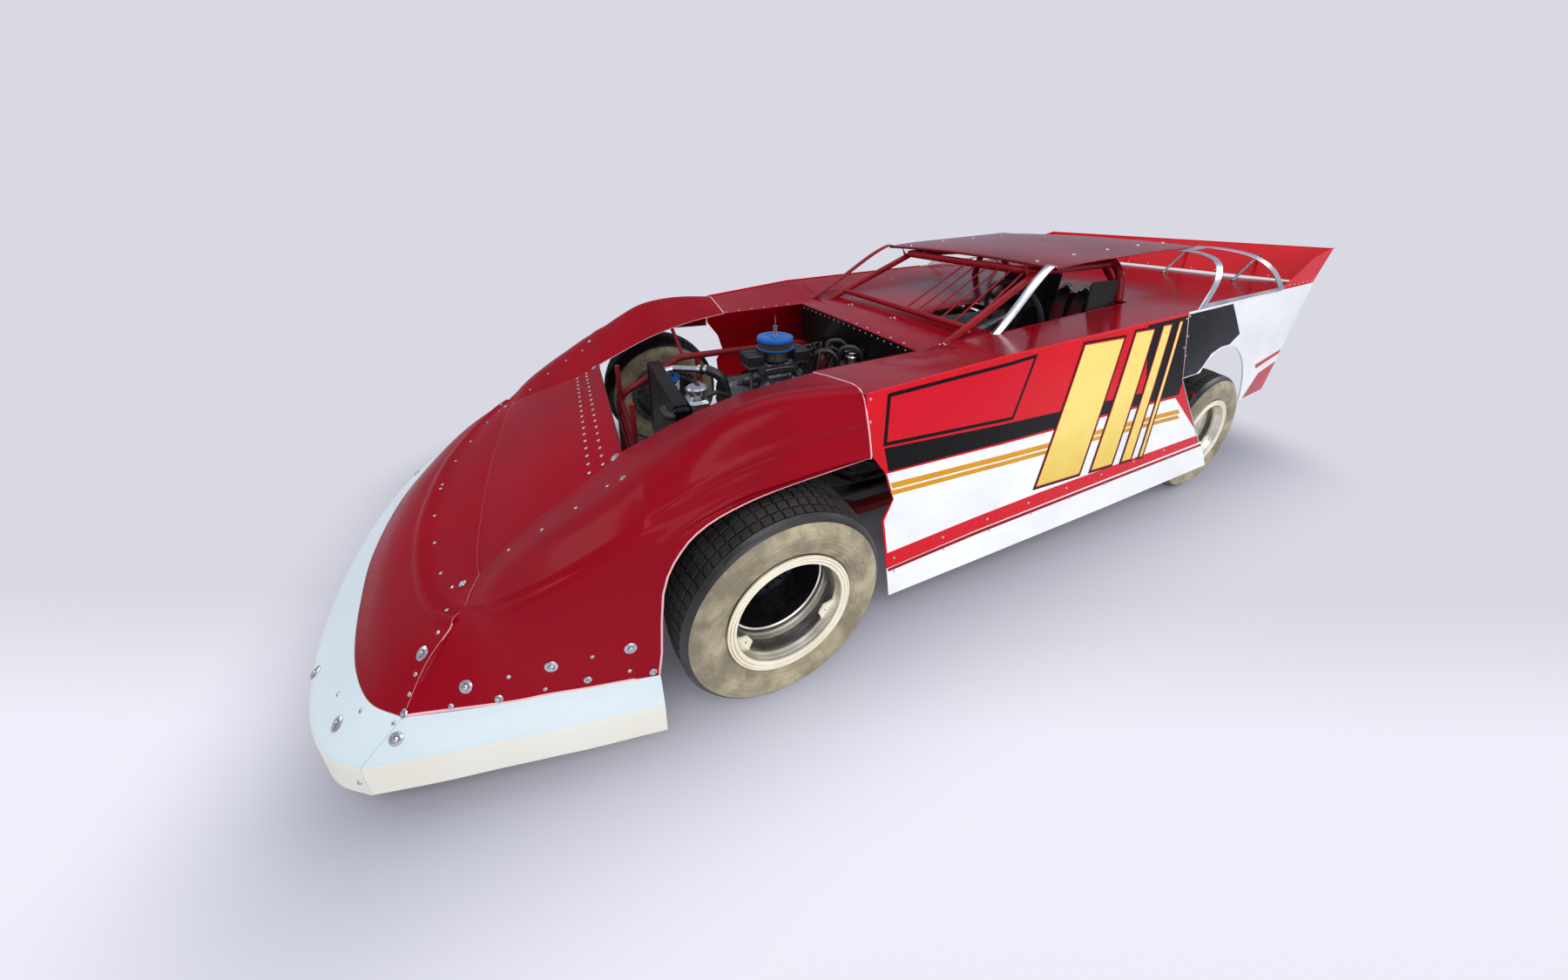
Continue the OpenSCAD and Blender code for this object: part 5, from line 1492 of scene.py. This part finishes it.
        s = Shape()
        for x in (1321, 1379):
            s.block((x - 1, -299, 326), (x + 1, 299, 738), 0.5)
        for k in range(52):
            z = 332 + k * 7.8
            s.block((1323, -297, z), (1377, 297, z + 2.2), 0.4)
        for side in (1, -1):
            s.beside((1316, 297, 330), (1384, 330, 735), side, 9, 1)
        for low, high in ((728, 742), (324.5, 338)):
            s.block((1318, -300, low), (1382, 300, high), 4, 1)
        s.tube([(1384, 313, 700), (1410, 313, 706), (1416, 250, 716)], 18, 26, 14, 2)
        s.tube([(1318, -196, 716), (1270, -192, 724), (1150, -100, 732)], 20, 30, 16, 3)
        a, b = Vector((1162, -109, 731)), Vector((1120, -78, 734))
        s.tube([a, b, (1062, -34, 706), (1040, -24, 600)], 26, 60, 16, 4)
        for t in (0.15, 0.8):
            s.bush(a.lerp(b, t), (-0.8, 0.6, 0.05), 28, 7, 3)
        s.block((1228, 196, 596), (1314, 326, 752), 12, 3)
        s.lathe([(30, 0), (30, 16), (44, 20), (46, 24), (46, 42), (40, 48), (0.5, 50)], (1270, 258, 750),
                UP, 32, 3)
        for k in range(20):
            a = math.tau * k / 20
            s.block((1268, 256, 772), (1272, 260, 790), 0.6, 3,
                    lambda p, a=a: p + Vector((46 * math.cos(a), 46 * math.sin(a), 0)))
        s.tube([(1270, 212, 792), (1262, 250, 806), (1238, 300, 740), (1226, 322, 640)], 7, 30, 10, 4)
        s.block((1300, 190, 640), (1322, 330, 668), 3)
        s.tube([(1240, 262, 604), (1200, 262, 560), (1120, 200, 470), (1080, 120, 420)], 14, 60, 12, 4)
        s.tube([(1232, 250, 740), (1180, 230, 742), (1110, 190, 700), (1070, 150, 640)], 11, 50, 12, 4)
        s.tube([(1316, 250, 360), (1250, 250, 350), (1160, 180, 330), (1100, 90, 330)], 24, 70, 16, 4)
        make(s, "radiator_core", "chassis",
             ["black", "black sheet", "rubber", "bolt", "rubber"],
             ["radiator"], 34)

        s = Shape()
        for y, x in ((-200, 500), (-330, 620), (180, 440)):
            s.tube([(x, y, 600), (x - 60, y, 690), (360, y * 0.8, 740), (330, y * 0.8, 730)], 8, 60, 10, 2)
        s.lathe([(0.5, 0), (34, 0), (38, 5), (38, 66), (32, 74), (40, 78), (40, 92), (34, 96), (0.5, 97)],
                (372, 110, 704), UP, 30)
        s.block((326, 84, 690), (400, 136, 706), 4, 3)
        s.tube([(780, 0, 914), (780, 0, 1004)], 3, 0, 8, 1)
        s.tube([(780 + 9 * math.cos(k * math.pi / 5), 9 * math.sin(k * math.pi / 5), 919 + k * 0.55)
                for k in range(50)], 1.8, 0, 6, 1)
        s.lathe([(4, 0), (13, 2), (13, 5), (4, 7)], (780, 0, 947), UP, 16, 1)
        make(s, "bay_tank_and_hoses", "chassis", ["bright", "steel", "rubber", "chassis"],
             (), 34)

        s = Shape()
        rows = [[Vector((327, y, z)) for z in steps(690, on_deck(331, y, -5).z, 4)] for y in steps(-546,
            546, 24)]
        s.grid(rows, 2)
        for y in range(-520, 530, 52):
            s.head((328.5, y, on_deck(331, y, -22).z), FORWARD, 6, 3, 1, 8)
        s.block((310, -546, 688), (329, 546, 694))
        make(s, "bay_closing_sheet", "chassis", ["black sheet", "bolt"], (), 34)
        return {"FINISHED"}


# Cockpit

COLUMN = Vector((math.cos(math.radians(20)), 0, -math.sin(math.radians(20))))
HUB = Vector((-560, 320, 985))


def seat_at(t, y, lift):
    """Point on the seat: t runs up the back from 0 to 1, and along the base from 0 to -1."""
    if t >= 0:
        base = Vector((-1035, 0, 318)).lerp(Vector((-1119, 0, 1150)), t)
        return base + Vector((lift, y, lift * 0.1))
    base = Vector((-1035, 0, 318)).lerp(Vector((-640, 0, 290)), -t)
    return base + Vector((-lift * 0.07 + (20 if t > -0.05 else 0), y, lift))


class OVAL_OT_cockpit(bpy.types.Operator):
    """Makes the seat with its pads and belts, the steering wheel, the boot and the tub's rivets"""
    bl_idname = "oval_car.cockpit"
    bl_label = "Cockpit"

    def pad(self, name, low, high, half, rise, channels):
        """A crowned pad on the seat, sewn across in channels."""
        def puff(u, v):
            crown = (1 - abs(u) ** 3.2) * (1 - abs(v) ** 3.2)
            seam = min(abs((u + 1) / 2 * channels - k) for k in range(channels + 1))
            return rise * (0.25 + 0.75 * crown ** 0.45) - rise * 0.35 * bell(seam, 0, 0.09) * crown
        s = Shape()
        us, vs = steps(-1, 1, 56), steps(-1, 1, 30)

        def at(u, v, lift):
            pull = 1 - 0.035 * (1 - abs(u)) ** 0.5 * abs(v) ** 6
            return seat_at(low + (high - low) * (u + 1) / 2, SEAT_Y + half * v * pull, lift)
        top = [[at(u, v, puff(u, v) if abs(u) < 1 and abs(v) < 1 else rise * 0.12) for v in vs] for u in us]
        low_side = [[at(u, v, 1) for v in vs] for u in us]
        s.grid(top)
        s.grid([row[::-1] for row in low_side])
        for a, b in ((top[0], low_side[0]), (low_side[-1], top[-1]),
                     ([r[-1] for r in top], [r[-1] for r in low_side]),
                     ([r[0] for r in low_side], [r[0] for r in top])):
            s.grid([a, b])
        for side in (-1, 1):
            s.tube([at(u, 0.985 * side, rise * 0.22) for u in us[1:-1:3]], 2.6, 0, 8)
        piece = make(s, name, "chassis", ["cloth"], (), 60)

    def execute(self, context):
        s = Shape()
        for side in (-1, 1):
            outline = [(-1058, 286), (-1148, 1120), (-1136, 1150), (-926, 1150), (-910, 1132), (-910, 975),
                       (-925, 958),
                       (-1035, 938), (-1050, 925), (-1044, 905), (-938, 830), (-930, 810), (-958, 650),
                       (-956, 630),
                       (-940, 492), (-928, 480), (-650, 424), (-636, 408), (-632, 284), (-644, 272)]
            s.sheet(outline, lambda a, b, lift, k=side: Vector((a, SEAT_Y + (201 + lift) * k, b)), 12, 0, 0,
                    80)
            loop = [Vector((a, SEAT_Y + 195 * side, b)) for a, b in outline]
            s.tube(loop + loop[:1], 7, 14, 8)
        s.block((-1024, 120, 276), (-632, 520, 290), 4)
        rows = [[seat_at(t, y, -3) for y in steps(200, -200, 12)] for t in steps(0, 1, 10)]
        s.grid(rows, 12)
        s.block((-1020, 170, 203.4), (-660, 470, 275), 10)
        for y in (262, 378):
            place = seat_at(0.9, y, 4)
            s.lathe([(30, 4), (34, 1), (24, 1), (22, 6), (30, 6), (30, 4)], place, (1, 0, 0.1), 28, 1)
            s.lathe([(0.5, 1), (23, 1)], place, (1, 0, 0.1), 24, 2)
        make(s, "seat_shell", "chassis", ["cloth", "bolt", "black"], ["seat"], 40)
        self.pad("seat_back_pad", 0.1, 0.82, 168, 34, 4)
        self.pad("seat_base_pad", -0.97, -0.12, 168, 36, 3)
        s = Shape()
        for y in (262, 378):
            rows = []
            for t in steps(0.9, 0.12, 18):
                lean = (y - SEAT_Y) * (0.55 + 0.5 * t)
                rows.append([seat_at(t, SEAT_Y + lean + w,
                                     41 - 26 * max(0, (t - 0.84) / 0.06)) for w in (-36, -18, 0, 18, 36)])
            s.grid(rows, 3)
            pad = []
            for t in steps(0.8, 0.48, 10):
                lean = (y - SEAT_Y) * (0.55 + 0.5 * t)
                pad.append([seat_at(t, SEAT_Y + lean + w, 46 + 5 * (1 - (w / 41) ** 4)) for w in (-40, -36,
                    -18, 0, 18, 36, 40)])
            s.grid(pad, 8, 1)
        s.block((-862, 290, 336), (-800, 350, 348), 5, 2)
        for side in (-1, 1):
            s.grid([[Vector((x, SEAT_Y + side * (30 + 140 * t), 342 + 18 * t * t)) for x in (-868, -850,
                -812, -795)]
                    for t in steps(0, 1, 10)][::side], 3)
        make(s, "harness_belts", "chassis", ["black", "red cloth", "steel"], (), 50)

        s = Shape()
        ring = [(176 + 14 * math.cos(a), 14 * math.sin(a)) for a in steps(0, math.tau, 18)]
        s.lathe(ring, HUB, COLUMN, 72)
        side = Vector((0, 1, 0))
        up = COLUMN.cross(side).normalized()
        for k in range(3):
            a = math.tau * k / 3 + math.pi
            out = up * math.cos(a) + side * math.sin(a)
            wide = COLUMN.cross(out)
            outline = [(24, -20), (168, -15), (168, 15), (24, 20)]
            s.sheet(outline, lambda p, q, lift, o=out, w=wide: HUB + o * p + w * q + COLUMN * (5 - lift), 5,
                    1, 0, 50)
            for reach in (60, 96, 130):
                s.lathe([(8, -1.4), (9.5, -1), (9.5, 0.4), (6, 0.6), (5, 0.2), (0.4, 0.2)],
                        HUB + out * reach + COLUMN * 4.6,
                        -COLUMN, 16, 2)
        s.lathe([(0.4, -4), (26, -4), (31, 0), (35, 4), (35, 12), (20, 15), (18, 18), (17, 59),
                 (0.4, 59.6)], HUB, COLUMN, 36, 1)
        for k in range(6):
            a = math.tau * k / 6
            s.head(HUB + (up * math.cos(a) + side * math.sin(a)) * 25 - COLUMN * 2.2, -COLUMN, 3.6, 2.4, 2,
                   6)
        make(s, "steering_wheel_grip", "steering", ["cloth", "black", "steel"],
             ["steering_wheel"], 34)

        s = Shape()
        for y in range(-500, 510, 40):
            for x, way in ((214.5, 1), (205, -1)):
                s.head((x, y, 764), (way, 0, 0), 5, 2.4, 0, 8)
        s.lathe([(60, 0), (60, 4), (44, 8), (40, 14), (30, 18), (22, 19)], (205, 320, 707), (-1, 0, 0.36),
                32, 1)
        for x in range(-1120, 180, 120):
            for y in (150, 500):
                s.head((x, y, 204), UP, 5, 2.4, 0, 8)
        make(s, "tub_rivets", "chassis", ["bolt", "rubber"], (), 34)
        return {"FINISHED"}


# Suspension

class OVAL_OT_suspension(bpy.types.Operator):
    """Makes the coil springs with their dampers, the front arms with the rack, and the rear links"""
    bl_idname = "oval_car.suspension"
    bl_label = "Suspension"

    def execute(self, context):
        s = Shape()
        for side in (1, -1):
            low, high = Vector((AX_F, 565 * side, 226.3)), Vector((AX_F, 442 * side, 676))
            axis = (high - low).normalized()
            reach = (high - low).length
            s.lathe([(0.5, 0), (13, 0), (15, 4), (15, 40), (22, 44), (27, 50), (27, 250), (22, 256),
                     (10, 258), (9, reach - 14),
                     (14, reach - 12), (14, reach), (0.5, reach)], low, axis, 28, 1)
            for inner, h, end in ((27, 56, 66), (9, 350, 362)):
                s.lathe([(inner, h), (42, h + 2), (42, h + 8), (inner, end)], low, axis, 32, 2)
            u = axis.orthogonal().normalized()
            v = axis.cross(u)
            sides, turns = 22, 9
            coil = []
            for k in range(turns * sides + 1):
                a = math.tau * k / sides
                h = 71 + 274 * k / (turns * sides)
                coil.append(low + axis * h + (u * math.cos(a) + v * math.sin(a)) * 35.5)
            s.tube(coil, 6.2, 0, 9)
        make(s, "coil_springs", "chassis", ["flange", "steel", "blue"], ["coilovers"], 40)
        s = Shape()
        for side in (1, -1):
            for k in (-1, 1):
                for ends, radius, sleeve, half in ((((130, 335, 210), (14, 751, 210)), 12, 18, 15),
                                                   (((135, 395, 540), (13, 751, 505)), 11, 16, 14)):
                    a, b = (Vector((AX_F + k * x, y * side, z)) for x, y, z in ends)
                    s.tube([a, b], radius)
                    s.bush(a, FORWARD, sleeve, half)
            s.tube([(AX_F - 64, 565 * side, 210), (AX_F + 64, 565 * side, 210)], 10)
            for z in (196, 490):
                s.lathe([(0.5, 0), (22, 0), (28, 5), (28, 22), (22, 28), (0.5, 28)], (AX_F, 757 * side, z),
                        UP, 28, 1)
            for z in (223, 458):
                s.lathe([(12, 0), (12, 34)], (AX_F, 757 * side, z), UP, 20, 1)
            s.beside((1104, 285, 195), (1132, 305, 282), side, 3)
            s.beside((1104, 285, 195), (1132, 335, 205), side)
        s.tube([(1118, -300, 282), (1118, 300, 282)], 28, 0, 28, 1)
        for side in (1, -1):
            s.lathe([(24, 296), (30, 300), (30, 306), (20, 310)], (1118, 0, 282), (0, side, 0), 28, 1)
        make(s, "front_arm_tubes", "chassis", ["steel", "cast"], ["arms_front"], 40)
        s = Shape()
        for side in (1, -1):
            for z, end in ((250, 210), (460, 440)):
                a, b = Vector((AX_R + 21.5, 611.5 * side, z)), Vector((-860, 611.5 * side, end))
                s.tube([a.lerp(b, 0.03), a.lerp(b, 0.97)], 14, 0, 16)
                for p in (a, b):
                    s.lathe([(10, -15), (17, -12), (17, 12), (10, 15)], p, (0, 1, 0), 20, 1)
                    s.lathe([(11, -17), (11, -14)], p, (0, side, 0), 6, 1)
        make(s, "rear_link_rods", "chassis", ["steel", "bolt"], ["rear_links"], 40)
        return {"FINISHED"}


# Fasteners

SMALL, MEDIUM, LARGE = 5.5, 10, 17
NOSE_SEEN = [
    (550, 652, SMALL), (584, 631, SMALL), (622, 608, SMALL), (661, 583, SMALL), (697, 558, SMALL),
    (715, 549, MEDIUM), (706, 525, LARGE), (531, 670, MEDIUM), (513, 700, SMALL), (503, 726, SMALL),
    (485, 750, LARGE),
    (477, 774, SMALL), (470, 797, SMALL), (464, 819, MEDIUM), (478, 570, SMALL), (455, 583, SMALL),
    (518, 811, 7), (535, 788, LARGE), (573, 802, MEDIUM), (584, 777, SMALL), (626, 791, SMALL),
    (633, 765, LARGE), (675, 780, MEDIUM), (680, 754, SMALL), (723, 770, SMALL), (724, 744, LARGE),
    (750, 771, MEDIUM),
    (739, 496, MEDIUM), (776, 473, MEDIUM), (813, 452, MEDIUM), (850, 437, SMALL), (885, 425, SMALL),
    (920, 417, SMALL),
    (549, 482, SMALL), (534, 508, SMALL), (519, 533, SMALL), (506, 561, SMALL), (499, 592, SMALL),
    (499, 623, SMALL),
    (506, 658, SMALL), (519, 674, SMALL),
]
VALANCE_SEEN = [
    (458, 542, MEDIUM), (436, 574, LARGE), (415, 612, LARGE), (406, 632, MEDIUM), (392, 635, MEDIUM),
    (396, 654, MEDIUM),
    (373, 708, LARGE), (362, 772, LARGE), (387, 831, LARGE), (455, 848, LARGE), (414, 816, SMALL),
    (452, 830, SMALL),
    (388, 797, SMALL), (413, 898, 7), (413, 910, 7),
]


class OVAL_OT_fasteners(bpy.types.Operator):
    """Puts the rivets and washers on the nose, fenders and valance, and a fold on the top panel"""
    bl_idname = "oval_car.fasteners"
    bl_label = "Fasteners"

    def execute(self, context):
        large = context.scene.oval_sizes.bolt / MM / 2
        small = rivet_radius()
        names = ["moulded_nose", "moulded_fender_left", "nose_top_panel", "front_deck_sheet",
                 "moulded_valance",
                 "moulded_fender_right"]
        trees = {name: surface_of(name) for name in names}
        s = Shape()

        def fix(place, normal, radius):
            radius = large if radius == LARGE else small * radius / 6
            normal = Vector(normal).normalized()
            if radius > 8:
                s.bolt(place + normal * 0.5, normal, radius)
            else:
                s.head(place, normal, radius, radius * 0.5, 0, 10)
        for seen in (NOSE_SEEN, VALANCE_SEEN):
            for x, y, radius in seen:
                hits = [seen_at(x, y, tree) for tree in trees.values()]
                hits = [h for h in hits if h]
                if hits:
                    place, normal = min(hits, key=lambda h: (h[0] - EYE / MM).length)
                    if place.y > 4:
                        fix(place, normal, radius)
        panel = trees["nose_top_panel"]
        for x in (1682, 1730):
            for y in range(29, 520, 58):
                place, normal = panel.ray_cast(Vector((x, y, 1500)), Vector((0, 0, -1)))[:2]
                if place is not None:
                    fix(place, normal if normal.z > 0 else -normal, SMALL * 1.2)
        s.mirrored()
        make(s, "nose_fasteners", "chassis", ["bolt"], (), 34)

        s = Shape()
        s.tube([p + Vector((-2, 0, -4)) for p in panel_grid()[0]], 5, 0, 8)
        make(s, "panel_fold", "chassis", ["chassis"], (), 34)
        return {"FINISHED"}


# Stage

class OVAL_OT_stage(bpy.types.Operator):
    """Makes the pale floor and wall, with a shadow painted on the floor round the car, the soft lights and
    the camera
    """
    bl_idname = "oval_car.stage"
    bl_label = "Stage, lights and camera"

    def execute(self, context):
        scene = context.scene
        mat, shader, place = blank("pale_backdrop_with_painted_shadow")

        def vector(operation, *values, out=0):
            return calc(mat, operation, *values, kind="VectorMath", out=out)
        direct = node(mat, "LightPath").outputs["Is Camera Ray"]
        # Camera rays see a darker floor colour: a painted shadow round the car, added to the real shadows
        # that the lamps cast
        put(mat, shader, Base_Color=mixed(mat, direct, rgb("#e4e4ee"), rgb("#a4a5b1")), Roughness=0.85)
        far = vector("DOT_PRODUCT", place, (-0.4305, -0.9026, 0.0), out="Value")
        along_floor = node(mat, "MapRange", i0=far, i1=-3.0, i2=0.0).outputs[0]
        tone = ramp(mat, along_floor, [(0.0, "#e9e9f5"), (0.37, "#efeffb"), (0.46, "#efeffb"),
                                       (0.57, "#dfdfea"),
                                       (0.63, "#d9d9e4")])
        # Distance from a box round the car; over it the painted shadow thins out into the backdrop glow
        size = vector("ABSOLUTE", vector("MULTIPLY", place, (1, 1, 0)))
        beyond = vector("MAXIMUM", vector("SUBTRACT", size, (2.2, 0.72, 0)), (0, 0, 0))
        reach = vector("LENGTH", beyond, out="Value")
        shadow_falloff = node(mat, "MapRange", {"interpolation_type": "SMOOTHSTEP"}, i0=reach, i1=0.05, i2=0.85)
        seen = calc(mat, "MULTIPLY", shadow_falloff.outputs[0], direct)
        glow = node(mat, "Emission", Color=tone, Strength=1.0)
        both = node(mat, "MixShader", i0=seen, i1=shader.outputs[0], i2=glow.outputs[0])
        feed(mat, mat.node_tree.nodes["Material Output"].inputs["Surface"], both.outputs[0])
        mesh = bpy.data.meshes.new("studio_floor")
        verts, faces = [], []
        heading = math.radians(-115.5)
        away = Vector((math.cos(heading), math.sin(heading), 0))
        across = Vector((-away.y, away.x, 0))
        profile = [(-30, 0), (7.5, 0), (9.8, 0.3), (11.6, 1.4), (12.6, 3.4), (12.9, 16)]
        for k, (d, z) in enumerate(profile):
            for w in (-45, 45):
                verts.append(away * d + across * w + Vector((0, 0, z)))
            if k:
                faces.append((2 * k - 2, 2 * k, 2 * k + 1, 2 * k - 1))
        mesh.from_pydata(verts, [], faces)
        mesh.materials.append(mat)
        mesh.polygons.foreach_set("use_smooth", [True] * len(faces))
        floor = bpy.data.objects.new("studio_floor", mesh)
        scene.collection.objects.link(floor)
        world = bpy.data.worlds.new("soft_sky")
        world.use_nodes = True
        back = world.node_tree.nodes["Background"]
        back.inputs["Color"].default_value = rgb("#e6e8f2")
        back.inputs["Strength"].default_value = 0.62
        scene.world = world
        for name, place, aim, size, power in (
                ("key_panel", (1.5, 3.6, 4.6), (0.0, 0.0, 0.6), (3.6, 1.6), 95),
                ("side_panel", (1.3, 5.5, 1.8), (1.0, 0.9, 0.5), (4.6, 1.2), 68),
                ("top_panel", (-0.6, -0.6, 5.2), (0, 0, 0), (5.5, 2.4), 70),
                ("tail_panel_light", (-4.6, 2.6, 3.0), (-1.6, 0.4, 0.8), (2.4, 1.6), 60),
                ("nose_light", (5.2, -1.0, 3.2), (1.6, 0, 0.4), (2.6, 1.6), 40)):
            lamp = bpy.data.lights.new(name, "AREA")
            lamp.shape = "RECTANGLE"
            lamp.size, lamp.size_y = size
            lamp.energy = power
            obj = bpy.data.objects.new(name, lamp)
            obj.location = place
            obj.rotation_euler = (Vector(aim) - Vector(place)).to_track_quat("-Z", "Y").to_euler()
            scene.collection.objects.link(obj)
        camera = bpy.data.cameras.new("camera")
        camera.sensor_width = SENSOR
        camera.lens = FOCAL / PHOTO_WIDE * SENSOR
        camera.shift_x = (PHOTO_WIDE / 2 - CENTRE[0]) / PHOTO_WIDE
        camera.shift_y = (CENTRE[1] - PHOTO_HIGH / 2) / PHOTO_WIDE
        camera.clip_start = 0.05
        obj = bpy.data.objects.new("camera", camera)
        right, up, look = view_axes()
        turn = Matrix((right, up, -look)).transposed().to_4x4()
        obj.matrix_world = Matrix.Translation(EYE) @ turn
        scene.collection.objects.link(obj)
        scene.camera = obj
        scene.view_settings.view_transform = "Standard"
        return {"FINISHED"}


class OVAL_OT_finishes(bpy.types.Operator):
    """Makes the finishes and puts them on the plain pieces"""
    bl_idname = "oval_car.finishes"
    bl_label = "Finishes"

    def execute(self, context):
        make_materials()
        plain = {
            "body": ["doors"],
            "white": ["quarters", "rocker_skirts"],
            "deck": ["front_deck", "rear_deck", "spoiler", "tail_panel", "nose_panel"],
            "plastic": ["nose_cover", "fender_left", "fender_right"],
            "white plastic": ["valance"],
            "roof": ["roof"],
            "bright": ["sails", "front_posts"],
            "tube": ["roll_cage", "cage_bars"],
            "chassis": ["frame", "front_clip", "rear_clip", "rear_bumper", "body_stays"],
            "iron": ["engine", "rear_axle", "driveline"],
            "blue": ["air_cleaner"],
            "exhaust": ["exhaust"],
            "sheet": ["cockpit_tub"],
            "black sheet": ["radiator"],
            "steel": ["arms_front", "knuckle_left", "knuckle_right", "tie_rods", "rear_links", "coilovers",
                      "steering_column"],
            "black": ["fuel_tank", "steering_wheel", "seat"],
            "tread": [f"tyre_{name}" for name in WHEELS],
            "rim": [f"rim_{name}" for name in WHEELS],
        }
        for key, names in plain.items():
            for name in names:
                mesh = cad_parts[name].data
                mesh.materials.clear()
                mesh.materials.append(STORE[key])
        return {"FINISHED"}


class OVAL_PT_panel(bpy.types.Panel):
    """Lists the pieces of the car"""
    bl_idname = "OVAL_PT_panel"
    bl_label = "Oval Car"
    bl_space_type = "VIEW_3D"
    bl_region_type = "UI"
    bl_category = "Oval Car"

    def draw(self, context):
        for group in (context.scene.oval_sizes, context.scene.oval_colours):
            for key in group.bl_rna.properties.keys():
                if key not in ("rna_type", "name"):
                    self.layout.prop(group, key)
        for cls in STEPS:
            self.layout.operator(cls.bl_idname)


STEPS = (OVAL_OT_finishes, OVAL_OT_nose, OVAL_OT_sides, OVAL_OT_decks, OVAL_OT_roof, OVAL_OT_tubes,
         OVAL_OT_wheels, OVAL_OT_engine, OVAL_OT_cockpit, OVAL_OT_suspension, OVAL_OT_fasteners,
         OVAL_OT_stage)
CLASSES = (CarSizes, CarColours, *STEPS, OVAL_PT_panel)


def register():
    for cls in CLASSES:
        bpy.utils.register_class(cls)
    bpy.types.Scene.oval_sizes = bpy.props.PointerProperty(type=CarSizes)
    bpy.types.Scene.oval_colours = bpy.props.PointerProperty(type=CarColours)


def unregister():
    del bpy.types.Scene.oval_colours
    del bpy.types.Scene.oval_sizes
    for cls in reversed(CLASSES):
        bpy.utils.unregister_class(cls)


def main():
    register()
    for cls in STEPS:
        group, name = cls.bl_idname.split(".")
        getattr(getattr(bpy.ops, group), name)()


if __name__ == "__main__":
    main()
